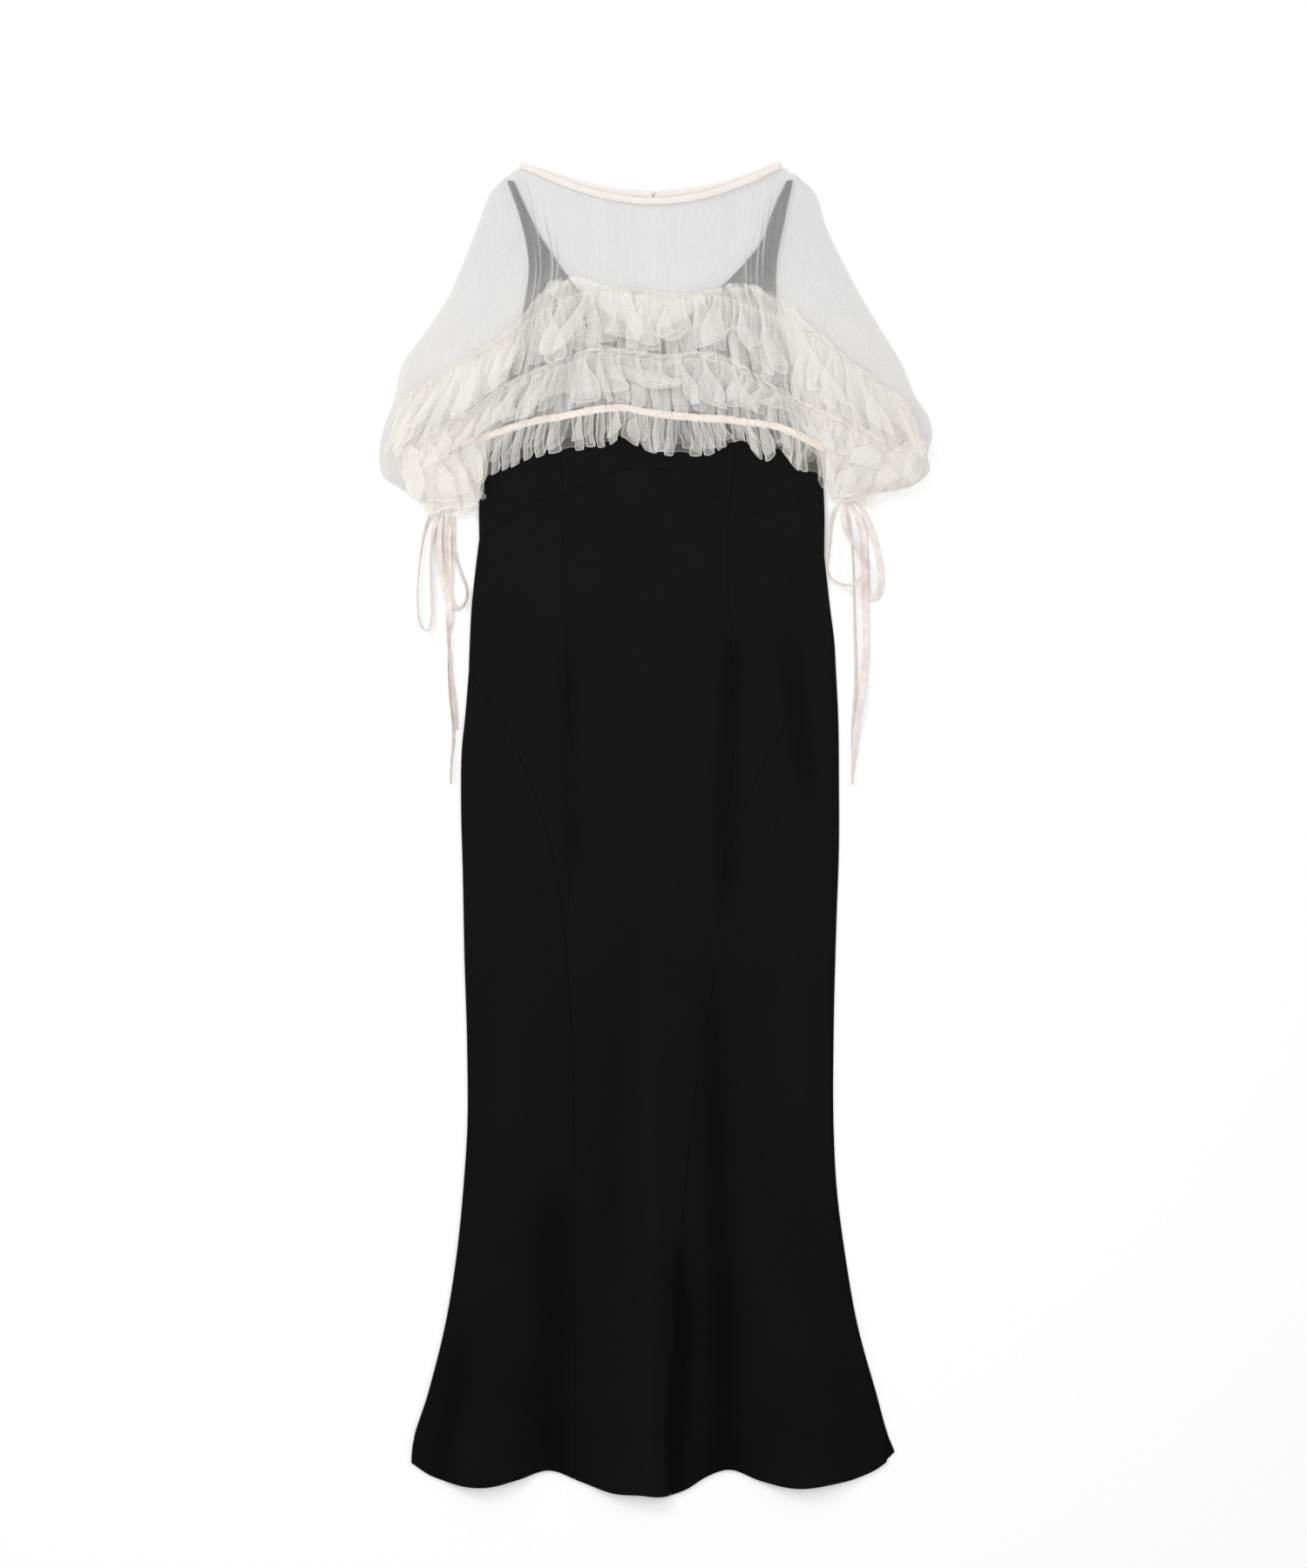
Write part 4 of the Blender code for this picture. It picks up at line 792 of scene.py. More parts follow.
def crepe_panel(name, node, grid, material, front):
    """One panel of black crepe, rolled in at its seams and puckered beside them; its colour holds painted
    shade, darker down the skirt, and on the front paler on folds and ridges and darker in creases.
    """
    grid = drawn_in(grid)
    across, down = grid[:, :, 0], grid[:, :, 1]
    near = edge_distance(grid)
    top = sheath_drop(down) + CREPE
    # painted shade: the crepe's colour darkens down the skirt as the light falls off
    tone = height_at(CREPE_SHADE_DOWN, down)
    if front:
        folds, narrow = skirt_folds(across, down), creases(across, down)
        top = top + FRONT_CREPE_RISE + folds + narrow
        # painted highlight and shade: paler on fold crests and ridges, darker in crease troughs
        tone = tone + 0.01 * folds + 0.1 * narrow
        top = top + 0.5 * noise(across / 38, down / 90, 3) * ramp(near, 0, 20)
        top = top + 0.28 * noise(across / 7, down / 7, 4) * np.exp(-near / 7) * ramp(near, 0, 3)
    top = top - 0.55 * np.exp(-near / 0.9)
    lowest = sheath_drop(down) + FRONT_CREPE_RISE + 0.9 if front else 0.7
    shell(name, grid, np.maximum(top, lowest), CREPE_DRAWN, material, node, tone)


def on_edge(table, across):
    """The point of the waist seam or the hem at this place across."""
    return (across, float(height_at(table, across)))


def in_turn(first, second, share=0.5):
    """Fractions along two edges that follow each other, the first of which takes this share."""
    return np.concatenate([first * share, share + second[1:] * (1 - share)])


def sheath_front(material):
    """The princess-seamed front: three skirt panels, two hip panels and three bodice panels."""
    long_rows, low_rows, bodice_rows = edged(96), edged(170), edged(34)
    centre, side = edged(44), edged(40)
    whole, all_rows = in_turn(long_rows, low_rows, SKIRT_SHARE), in_turn(bodice_rows, bodice_rows)
    left_waist, right_waist = on_edge(WAIST, PRINCESS_WAIST_LEFT), on_edge(WAIST, PRINCESS_WAIST_RIGHT)
    princess_left = route([left_waist] + PRINCESS_LEFT, long_rows)
    princess_right = route([right_waist] + PRINCESS_RIGHT, long_rows)
    flare_left = route(FLARE_SEAM_LEFT + [on_edge(HEM, FLARE_HEM_LEFT)], low_rows)
    flare_right = route(FLARE_SEAM_RIGHT + [on_edge(HEM, FLARE_HEM_RIGHT)], low_rows)
    side_left = route(FLARE_SIDE_LEFT + [HEM[0]], low_rows)
    side_right = route(FLARE_SIDE_RIGHT + [on_edge(HEM, FRONT_HEM_END)], low_rows)
    hip_left, hip_right = route(HIP_LEFT, side), route(HIP_RIGHT, side)
    hip_side_left, hip_side_right = route(HIP_SIDE_LEFT, long_rows), route(HIP_SIDE_RIGHT, long_rows)
    waist_left = down_line(WAIST, WAIST[0][0], PRINCESS_WAIST_LEFT, side)
    waist_right = down_line(WAIST, PRINCESS_WAIST_RIGHT, WAIST[-1][0], side)
    waist_centre = down_line(WAIST, PRINCESS_WAIST_LEFT, PRINCESS_WAIST_RIGHT, centre)
    hem_left = down_line(HEM, HEM[0][0], FLARE_HEM_LEFT, side)
    hem_right = down_line(HEM, FLARE_HEM_RIGHT, FRONT_HEM_END, side)
    hem_centre = down_line(HEM, FLARE_HEM_LEFT, FLARE_HEM_RIGHT, centre)
    bodice_left = route(BODICE_PRINCESS_LEFT + [left_waist], bodice_rows)
    bodice_right = route(BODICE_PRINCESS_RIGHT + [right_waist], bodice_rows)
    strap_left = joined(route(STRAP_LEFT, bodice_rows), bodice_left)
    strap_right = joined(route(STRAP_RIGHT, bodice_rows), bodice_right)
    shoulder_left = route([SHEATH_SIDE_LEFT[0], STRAP_LEFT[0]], side)
    shoulder_right = route([STRAP_RIGHT[0], SHEATH_SIDE_RIGHT[0]], side)
    under_arm_left, under_arm_right = route(SHEATH_SIDE_LEFT, all_rows), route(SHEATH_SIDE_RIGHT, all_rows)
    for name, node, edges, across, down in (
        ("crepe_front_centre", "skirt_front_centre", (
            waist_centre, joined(princess_right, flare_right), hem_centre, joined(princess_left, flare_left),
        ), centre, whole),
        ("crepe_hip_left", "skirt_hip_left", (waist_left, princess_left, hip_left, hip_side_left),
         side, long_rows),
        ("crepe_hip_right", "skirt_hip_right", (waist_right, hip_side_right, hip_right, princess_right),
         side, long_rows),
        ("crepe_flare_left", "skirt_flare_left", (hip_left, flare_left, hem_left, side_left), side, low_rows),
        ("crepe_flare_right", "skirt_flare_right", (hip_right, side_right, hem_right, flare_right),
         side, low_rows),
        ("crepe_bodice_centre", "bodice_front_centre",
         (route(PLUNGE, centre), bodice_right, waist_centre, bodice_left), centre, bodice_rows),
        ("crepe_bodice_left", "bodice_front_left", (shoulder_left, strap_left, waist_left, under_arm_left),
         side, all_rows),
        ("crepe_bodice_right", "bodice_front_right",
         (shoulder_right, under_arm_right, waist_right, strap_right), side, all_rows),
    ):
        crepe_panel(name, node, patch(*edges, across, down), material, True)


def sheath_back(material):
    """The back of the skirt and of the bodice, each in two plain halves."""
    plain, rows = np.linspace(0, 1, 24), np.linspace(0, 1, 60)
    twice = in_turn(rows, rows)
    middle_hem = (0, on_edge(HEM, 0)[1] - BACK_HEM_SHORTER)
    hem_left = down_line(HEM, HEM[0][0], 0, plain) - (0, BACK_HEM_SHORTER)
    hem_right = down_line(HEM, 0, HEM[-1][0], plain) - (0, BACK_HEM_SHORTER)
    side_left = route(HIP_SIDE_LEFT + FLARE_SIDE_LEFT[1:] + [tuple(hem_left[0])], rows)
    side_right = route(HIP_BACK_RIGHT + FLARE_BACK_RIGHT[1:] + [tuple(hem_right[-1])], rows)
    skirt_seam, bodice_seam = route([BACK_WAIST, middle_hem], rows), route([BACK_NECK, BACK_WAIST], rows)
    waist_left, waist_right = route([WAIST[0], BACK_WAIST], plain), route([BACK_WAIST, WAIST[-1]], plain)
    neck_left = joined(route(STRAP_LEFT + PLUNGE[1:4], rows), bodice_seam)
    neck_right = joined(route(STRAP_RIGHT + PLUNGE[5:2:-1], rows), bodice_seam)
    shoulder_left = route([SHEATH_SIDE_LEFT[0], STRAP_LEFT[0]], plain)
    shoulder_right = route([STRAP_RIGHT[0], SHEATH_SIDE_RIGHT[0]], plain)
    under_arm_left, under_arm_right = route(SHEATH_SIDE_LEFT, twice), route(SHEATH_SIDE_RIGHT, twice)
    for name, node, edges, down in (
        ("crepe_back_left", "skirt_back_left", (waist_left, skirt_seam, hem_left, side_left), rows),
        ("crepe_back_right", "skirt_back_right", (waist_right, side_right, hem_right, skirt_seam), rows),
        ("crepe_bodice_back_left", "bodice_back_left",
         (shoulder_left, neck_left, waist_left, under_arm_left), twice),
        ("crepe_bodice_back_right", "bodice_back_right",
         (shoulder_right, under_arm_right, waist_right, neck_right), twice),
    ):
        crepe_panel(name, node, patch(*edges, plain, down), material, False)


def below(line, distance):
    """A neck line moved into the cloth, square to itself."""
    return line + distance * sideways(line)


def cape_top(across, down):
    """Height of the tulle's upper face: level on the body and domed over each sleeve."""
    height = np.full(np.shape(across), LEVEL)
    for armhole, fold in (
        (ARMHOLE_LEFT + UNDERARM_LEFT[1:], SLEEVE_FOLD_LEFT),
        (ARMHOLE_RIGHT + UNDERARM_RIGHT[1:], SLEEVE_FOLD_RIGHT),
    ):
        inner = across_at(armhole, down)
        part = np.clip((across - inner) / (across_at(fold, down) - inner), 0, 1)
        dome = height_at(PUFF, down) * 4 * part * (1 - part)
        height = height + (SLEEVE_FOLD_HEIGHT - LEVEL) * part + dome
    return height


def knife_pleats(count, seed):
    """Folded pleats along an edge: place of each column laid flat, how far folding moves it, its lift
    and the number of its pleat."""
    order = np.arange(count)
    widths = 1 + 0.6 * noise(order * 0.73, 0.5, seed)
    starts = np.cumsum(widths) - widths
    table = np.array(KNIFE_PLEAT)
    flat = (starts[:, None] + widths[:, None] * table[:, 0]).ravel() / widths.sum()
    moved = (widths[:, None] * (table[:, 1] - table[:, 0])).ravel() / widths.sum()
    lift = np.tile(table[:, 2], count)
    member = np.repeat(order, len(table))
    return np.append(flat, 1), np.append(moved, 0), np.append(lift, 0), np.append(member, count)


# Folded net: its points, how high each stands in its fold and how far its fold is turned over
Pleats = namedtuple("Pleats", "grid across down rise turned")


def pleated(edges, count, seed, fold, rows):
    """Net in fine folds that run from its top edge to its bottom edge, each as long and deep as it likes."""
    top, right, bottom, left = edges
    along, down = np.linspace(0, 1, 260), np.linspace(0, 1, rows)
    fine = patch(route(top, along), route(right, down), route(bottom, along), route(left, down), along, down)
    flat, moved, rise, member = knife_pleats(count, seed)
    wander = noise(member[None, :] * 1.31, down[:, None] * 3.1 + member * 0.37, seed + 1)
    depth = np.clip(0.55 + 0.75 * wander, 0, 1.2) * ramp(np.minimum(flat, 1 - flat), 0, 0.05)[None, :]
    turned = fold(flat[None, :], down[:, None])
    places = flat[None, :] + moved[None, :] * depth * turned
    places = places + 0.3 / count * noise(flat[None, :] * count * 0.5, down[:, None] * 5, seed + 2)
    places[:, 0], places[:, -1] = 0, 1
    places = np.clip(places, 0, 1)
    grid = np.array([
        np.column_stack([np.interp(place, along, row[:, 0]), np.interp(place, along, row[:, 1])])
        for place, row in zip(places, fine)
    ])
    return Pleats(grid, grid[:, :, 0], grid[:, :, 1], rise[None, :] * depth, turned)


def net(name, node, pleats, height, cover, warm, material):
    """A piece of pleated net, which covers more on its folds and at its edges, where its colour is also
    painted paler and warmer as a painted highlight.
    """
    near = edge_distance(pleats.grid)
    cover = cover + 0.3 * np.exp(-near / 0.8) + 0.5 * pleats.turned * pleats.rise
    # painted highlight: folds and the strip near the edges turn to the paler, warmer thick colour
    warm = warm + 0.5 * pleats.rise + 0.8 * np.exp(-near / 4)
    sheer(name, pleats.grid, height, material, [node], cover, warm)


def neck_warmth(down):
    """How much warmer the net is than at the neck, where the fewest layers lie on each other."""
    return 0.3 * ramp(down, 70, 150)


def tulle_front(material):
    """The gathered front, whose pleats are deep over the straps and fine in the middle."""
    def fold(along, down):
        strap = ramp(np.abs(along - 0.5) + 0.3 * down, 0.42, 0.47)
        return (0.6 + 0.5 * ramp(down, 0.02, 0.3)) * (0.24 + 1.5 * strap)

    neck = below(route(NECK_FRONT, np.linspace(0, 1, 25)), BINDING_WIDTH + BINDING_EASE)
    top = [ARMHOLE_LEFT[0], *neck, ARMHOLE_RIGHT[0]]
    line = [(row[0], row[1] - NET_ABOVE_LINE) for row in HEM_TIER[2:-2]]
    hem = [ARMHOLE_LEFT[-1], *line, ARMHOLE_RIGHT[-1]]
    pleats = pleated((top, ARMHOLE_RIGHT, hem, ARMHOLE_LEFT), 40, 11, fold, 80)
    across, down = pleats.across, pleats.down
    tier = np.array(TOP_TIER, float)
    ruffle = height_at(np.column_stack([tier[:, 0], tier[:, 1] - tier[:, 4]]), across)
    height = LEVEL - 0.6 + (0.25 + 0.15 * (1 - ramp(down, ruffle - 30, ruffle))) * pleats.rise
    cover = 1.9 + 0.6 * ramp(down, ruffle - 26, ruffle)
    net("net_front", "tulle_front", pleats, height, cover, neck_warmth(down), material)


def flat_height(pleats):
    """Height of net that lies straight on the floor."""
    return 0.35 + 0.25 * noise(pleats.across / 20, pleats.down / 40, 7)


def tulle_backs(material):
    """The two plain halves of the back."""
    drop = BINDING_WIDTH + BINDING_EASE
    middle = [(0, NECK_BACK_LEFT[-1][1] + drop), TULLE_BACK_HEM[2]]
    left_neck = below(route(NECK_BACK_LEFT, np.linspace(0, 1, 13)), drop)
    right_neck = below(route(NECK_BACK_RIGHT, np.linspace(0, 1, 13)), drop)
    left_top = [ARMHOLE_LEFT[0], *left_neck[:-1], middle[0]]
    right_top = [middle[0], *right_neck[1:], ARMHOLE_RIGHT[0]]
    left_hem = [ARMHOLE_LEFT[-1]] + TULLE_BACK_HEM[1:3]
    right_hem = TULLE_BACK_HEM[2:4] + [ARMHOLE_RIGHT[-1]]
    for side, edges, seed in (
        ("left", (left_top, middle, left_hem, ARMHOLE_LEFT), 21),
        ("right", (right_top, ARMHOLE_RIGHT, right_hem, middle), 23),
    ):
        pleats = pleated(edges, 17, seed, lambda along, down: 0.2 + 0.3 * down, 40)
        height = flat_height(pleats) + 0.3 * pleats.rise
        warm = neck_warmth(pleats.down)
        net(f"net_back_{side}", f"tulle_back_{side}", pleats, height, 2.3, warm, material)


def sleeves(material):
    """Each sleeve's upper layer, puffed over its under layer on the floor."""
    def puffed(along, down):
        return 0.14 + 0.2 * ramp(down, 0.1, 0.6) + 0.6 * ramp(down, 0.78, 1)

    for side, seam, fold, cuff, seed in (
        ("left", ARMHOLE_LEFT + UNDERARM_LEFT[1:], SLEEVE_FOLD_LEFT, CUFF_LEFT, 31),
        ("right", ARMHOLE_RIGHT + UNDERARM_RIGHT[1:], SLEEVE_FOLD_RIGHT, CUFF_RIGHT, 37),
    ):
        edges = ([seam[0], fold[0]], fold, cuff, seam)
        if side == "left":
            edges = ([fold[0], seam[0]], seam, cuff, fold)
        pleats = pleated(edges, 24, seed, puffed, 90)
        across, down = pleats.across, pleats.down
        height = cape_top(across, down) - 0.6 + 0.8 * noise(across / 26, down / 60, 9)
        height = height + (0.15 + 0.15 * ramp(down, 5, 60)) * pleats.rise
        cover = 2.3 + 0.5 * ramp(down, 90, 220) + 0.3 * ramp(down, 300, 370)
        # painted shade: more cover makes the left sleeve's outer end greyer, where shade falls
        cover = cover + 1.1 * ramp(-across, 284, 302) * ramp(down, 240, 310)
        warm = neck_warmth(down) + 0.35 * ramp(down, 120, 240)
        net(f"net_sleeve_{side}", f"sleeve_{side}_upper", pleats, height, cover, warm, material)

        pleats = pleated(edges, 16, seed + 3, lambda along, down: 0.2 + 0.4 * down, 50)
        height = flat_height(pleats) + 0.4 * pleats.rise
        cover = 2.3 + 0.4 * ramp(pleats.down, 300, 370)
        warm = neck_warmth(pleats.down)
        net(f"net_sleeve_{side}_under", f"sleeve_{side}_under", pleats, height, cover, warm, material)


# Rows of a ply from its gather line to its free edge; what is under 0 stands above the line
RUFFLE_PLACES = (
    -1, -0.5, -0.15, 0, 0.04, 0.1, 0.17, 0.25, 0.33, 0.42, 0.51, 0.6, 0.68, 0.76, 0.83, 0.9, 0.96, 1.0,
)
HEM_PLACES = (0, 0.05, 0.12, 0.21, 0.32, 0.44, 0.56, 0.67, 0.78, 0.88, 0.95, 1.0)

# Distance between the columns of a ply, width of the fine pleats at its gather line, how much more its
# # rims cover, how much more the left sleeve's end covers as painted shade, and height of what lies under
# # the cuffs' frills
COLUMN = 0.72
FINE_PLEAT = 7.0
RIM_COVER = 1.4
LEFT_END_SHADE_COVER = 1.35
FLOOR_STACK = 1.2

# One ply of a ruffle. lobe: mean width of its lobes; spread and knife: how far a lobe opens over its
# neighbours on both sides and on one; start: share of that at the gather line; tall: height of a
# lobe; clear: height of the ply above what it lies on; lean: how far lobes swing sideways; curl: how
# far edges turn back; ragged: unevenness of the free edge; scallop: how far valleys fall short of
# lobes; fine: depth of the fine pleats; cover: how much each layer hides; bright: how much more where
# a lobe turns back; reach: how far it comes down
Ply = namedtuple("Ply", "lobe spread knife start tall clear lean curl ragged scallop fine cover bright reach")
TOP_PLIES = (
    Ply(13, 2.6, 0.8, 0.35, 4.5, 0.8, 9, 0.1, 0.08, 0.12, 0.9, 0.50, 1.6, 1.14),
    Ply(20, 2.9, 1.0, 0.25, 7.0, 3.0, 15, 0.5, 0.12, 0.22, 1.0, 0.68, 1.6, 1.08),
    Ply(29, 3.0, 1.2, 0.2, 9.0, 6.5, 20, 0.9, 0.18, 0.32, 1.0, 0.76, 1.6, 0.98),
)
MIDDLE_PLIES = (
    Ply(12, 2.6, 0.8, 0.35, 4.5, 0.8, 8, 0.1, 0.09, 0.14, 0.9, 0.46, 1.6, 1.14),
    Ply(18, 2.9, 1.0, 0.25, 6.5, 3.0, 13, 0.5, 0.14, 0.24, 1.0, 0.64, 1.6, 1.06),
    Ply(26, 3.0, 1.2, 0.2, 8.5, 6.0, 18, 0.8, 0.20, 0.34, 1.0, 0.72, 1.6, 0.94),
)
HEM_PLIES = (
    Ply(14, 2.7, 0.8, 0.75, 5.0, 0.5, 5, 0.0, 0.10, 0.16, 0.2, 0.70, 3.4, 1.0),
    Ply(22, 2.4, 0.9, 0.6, 5.0, 2.6, 7, 0.0, 0.36, 0.30, 0.4, 0.46, 3.4, 0.72),
)
CUFF_PLIES = (
    Ply(12, 2.8, 0.8, 0.3, 4.5, 0.5, 4, 0.1, 0.12, 0.12, 0.4, 0.9, 0.5, 1.04),
    Ply(18, 3.2, 0.9, 0.3, 6.0, 2.4, 6, 0.3, 0.16, 0.16, 0.4, 0.9, 0.5, 1.0),
)
PUFF_PLIES = (
    Ply(16, 2.6, 0.8, 0.3, 6.0, 0.8, 8, 0.1, 0.14, 0.16, 0.6, 0.62, 0.3, 1.04),
    Ply(20, 2.8, 0.9, 0.25, 7.5, 3.2, 12, 0.2, 0.18, 0.22, 0.6, 0.66, 0.3, 0.96),
    Ply(24, 3.0, 0.9, 0.2, 9.0, 6.5, 16, 0.3, 0.22, 0.26, 0.6, 0.70, 0.3, 0.80),
)

# Drawn-in ends of the sleeves, where their fullness falls in lobes over the cuff:
# gather line across, down; free edge across, down; header
SLEEVE_END_LEFT = [
    (-285, 306, -292, 348, 0), (-270, 318, -276, 374, 0),
    (-254, 325, -258, 396, 0), (-240, 326, -244, 388, 0), (-226, 322, -226, 390, 0),
    (-212, 314, -210, 388, 0), (-198, 304, -193, 368, 0),
]
SLEEVE_END_RIGHT = [
    (190, 304, 191, 350, 0), (202, 306, 198, 364, 0), (214, 318, 206, 376, 0), (228, 328, 221, 377, 0),
    (244, 330, 240, 378, 0), (260, 326, 264, 368, 0), (276, 318, 292, 360, 0),
    (290, 306, 310, 341, 0), (298, 290, 314, 316, 0),
]


def ruffle_ply(name, nodes, tier, places, look, seed, base, material):
    """One layer of a gathered strip: fine pleats at its line merge into wide, leaning lobes at its edge."""
    fine = np.linspace(0, 1, 1500)
    lines = route(tier, fine)
    tangents = np.gradient(lines[:, :2], axis=0)
    length = np.linalg.norm(tangents, axis=1).sum()
    tangents /= np.linalg.norm(tangents, axis=1, keepdims=True)
    lines = np.column_stack([lines, tangents])

    count = max(int(length / look.lobe), 3)
    columns = max(int(look.lobe / COLUMN), 18)
    order = np.arange(count)
    widths = 1 + 0.6 * noise(order * 1.37, 0.5, seed)
    starts = np.cumsum(widths) - widths
    steps = np.arange(columns) / columns
    member = np.append(np.repeat(order, columns), count - 1)
    width = np.append(np.repeat(widths, columns), widths[-1]) / widths.sum()
    laid = np.append((starts[:, None] + widths[:, None] * steps).ravel(), widths.sum()) / widths.sum()
    phase = 2 * np.pi * np.append(np.tile(steps, count), 1.0)
    place_in_row = member + phase / (2 * np.pi)
    at = laid * length

    spread = look.spread * (1 + 0.5 * noise(member * 0.83, 1.5, seed + 1))
    side = np.sign(noise(member * 0.71, 8.5, seed))
    knife = look.knife * side * (0.5 + 0.5 * np.abs(noise(member * 1.21, 2.5, seed + 2)))
    tall = look.tall * (1 + 0.5 * noise(member * 0.91, 3.5, seed + 3))
    lean = look.lean * (noise(at / 55, 0.8, seed + 7) + 0.7 * noise(place_in_row * 0.9, 5.5, seed))
    curl = look.curl * np.maximum(noise(place_in_row * 0.8, 6.5, seed + 4) + 0.15, 0)
    short = look.ragged * (noise(place_in_row * 0.85, 7.5, seed + 5) + 0.5 * noise(at / 9, 0.3, seed + 6))
    fine_phase = 2 * np.pi * at / FINE_PLEAT + 2.2 * noise(at / 17, 4.5, seed + 8)
    fine_reach = 0.3 + 1.2 * np.maximum(noise(at / 7.3, 1.5, seed + 9), 0) ** 1.5
    crest, trough = (1 - np.cos(phase)) / 2, (1 + np.cos(phase)) / 2
    ends = 0.3 + 0.7 * ramp(np.minimum(at, length - at), 0, 18)
    valley = 1 - 0.65 * min(look.bright / 2.4, 1) * trough

    grid, heights, cover = [], [], []
    for place in places:
        v = max(place, 0)
        header = ramp(-place, 0, 1)
        opened = look.start + (1 - look.start) * max(ramp(v, 0, 0.7), 0.7 * header)
        swing = spread / (4 * np.pi) * np.sin(2 * phase) + knife * crest
        stretch = 1 + opened * (spread * np.cos(2 * phase) + np.pi * knife * np.sin(phase))
        turn = np.exp(-((stretch / 0.9) ** 2))
        pleat = look.fine * np.maximum(np.exp(-(v / fine_reach) ** 2), header)
        turned = laid + width * opened * swing + 2.1 * pleat * np.sin(fine_phase) / length
        turned = turned + 4 * v * noise(at / 30, v * 2.2, seed + 10) / length
        rows = np.array([np.interp(turned, fine, column) for column in lines.T])
        gather, free, head, direction = rows[0:2].T, rows[2:4].T, rows[4], rows[5:7].T
        fall = free - gather
        if place >= 0:
            share = place * look.reach * (1 + short * v - look.scallop * trough * v)
            share = share - 1.7 * curl * max(v - 0.7, 0)
            points = gather + fall * share[:, None]
        else:
            uneven = 1 + 0.35 * noise(at / 8, 4.5, seed)
            reach = np.linalg.norm(fall, axis=1, keepdims=True)
            points = gather + fall / reach * (head * place * uneven)[:, None]
        drift = lean * v ** 1.3 + 1.6 * v * noise(at / 11, v * 4, seed + 11)
        points = points + direction * drift[:, None]
        lifted = tall * opened * crest + 1.8 * pleat * (1 + np.cos(fine_phase)) / 2
        lifted = lifted + curl * look.tall * ramp(v, 0.68, 0.95)
        lifted = lifted + 1.5 * v * np.maximum(noise(points[:, 0] / 13, points[:, 1] / 13, seed + 12), -0.4)
        stand = look.clear * (0.25 + 0.75 * ramp(v, 0, 0.7)) + 1.4 * header
        grid.append(points)
        heights.append(base(points[:, 0], points[:, 1]) + stand + lifted)
        rim = RIM_COVER if place in (places[-1], -1) else 0.0
        gathered = (1 - ramp(abs(place), 0, 0.14)) * look.fine * (0.2 + 0.8 * np.sin(fine_phase / 2) ** 2)
        folds = 0.7 * pleat * np.abs(np.sin(fine_phase / 2)) ** 3 + look.bright * turn * (1 - 0.6 * pleat)
        cover.append(look.cover * ends * valley * (1 - 0.55 * header) * (1 + gathered + rim + folds))
    grid, heights = np.array(grid), np.maximum(np.array(heights), 0.4)
    across, down = grid[:, :, 0], grid[:, :, 1]
    warm = 0.3 + 0.5 * ramp(np.abs(across), 120, 280) * ramp(down, 180, 330)
    warm = warm + 0.3 * noise(across / 60, down / 30, seed)
    sheer(name, grid, heights, material, nodes, np.array(cover), warm)


def floor_stack(across, down):
    """What a cuff's frill lies on."""
    return np.full(across.shape, FLOOR_STACK)


def sleeve_end(across, down):
    """What the lobes at a sleeve's drawn-in end lie on: the sleeve, then the floor beyond its cuff."""
    cuff = np.where(across < 0, 378.0, 370.0)
    return cape_top(across, down) * (1 - ramp(down, cuff - 14, cuff + 4)) + FLOOR_STACK


def plies_of(name, nodes, tier, places, looks, seed, base, material):
    """The plies of one ruffle, the uppermost of which stands for its node."""
    for number, look in enumerate(looks, 1):
        stands_for = nodes if number == len(looks) else []
        ply_seed = seed + 20 * (number - 1)
        ruffle_ply(f"{name}_ply_{number}", stands_for, tier, places, look, ply_seed, base, material)


def ruffles(material):
    """The lobes and frills at the cuffs, the hem ruffle and the tiers across the front and sleeves."""
    for side, end, frill, seed, shade_cover in (
        ("left", SLEEVE_END_LEFT, CUFF_FRILL_LEFT, 171, LEFT_END_SHADE_COVER),
        ("right", SLEEVE_END_RIGHT, CUFF_FRILL_RIGHT, 277, 1.0),
    ):
        cuff = f"cuff_frill_{side}"
        plies_of(cuff, [cuff], frill, HEM_PLACES, CUFF_PLIES, seed, floor_stack, material)
        # painted shade: the left sleeve's end covers more and so reads greyer, as if in shade
        puffs = [look._replace(cover=look.cover * shade_cover) for look in PUFF_PLIES]
        plies_of(f"sleeve_end_{side}", [], end, HEM_PLACES, puffs, seed + 3, sleeve_end, material)
    for name, tier, places, looks, seed in (
        ("ruffle_hem", HEM_TIER, HEM_PLACES, HEM_PLIES, 361),
        ("ruffle_middle", MIDDLE_TIER, RUFFLE_PLACES, MIDDLE_PLIES, 451),
        ("ruffle_top", TOP_TIER, RUFFLE_PLACES, TOP_PLIES, 541),
    ):
        plies_of(name, [name], tier, places, looks, seed, cape_top, material)


def gather_thread(name, tier, seed, material):
    """The stitched thread along a gather line: a row of short stitches that sink between the pleats."""
    line, at, normal = paced(tier, np.linspace(0.004, 0.996, 1600))
    line = line + normal * (0.35 * np.sin(at / 1.9) + 1.4 * noise(at / 16, 0.5, seed))[:, None]
    stitch = np.abs(np.sin(np.pi * at / THREAD_STITCH + 1.5 * noise(at / 9, 1.5, seed)))
    sunk = ramp(noise(at / 21, 2.5, seed), 0.15, 0.6)
    height = cape_top(line[:, 0], line[:, 1]) + 3.4 + 1.6 * stitch - 3.0 * sunk
    width = THREAD_HALF * (0.35 + 0.65 * stitch)
    ring = [(1, 0), (0.5, 0.8), (-0.5, 0.8), (-1, 0), (-0.5, -0.8), (0.5, -0.8), (1, 0)]
    rings = [
        np.column_stack([line + normal * (width * across)[:, None], height + width * up])
        for across, up in ring
    ]
    tube(name, rings, material, [])


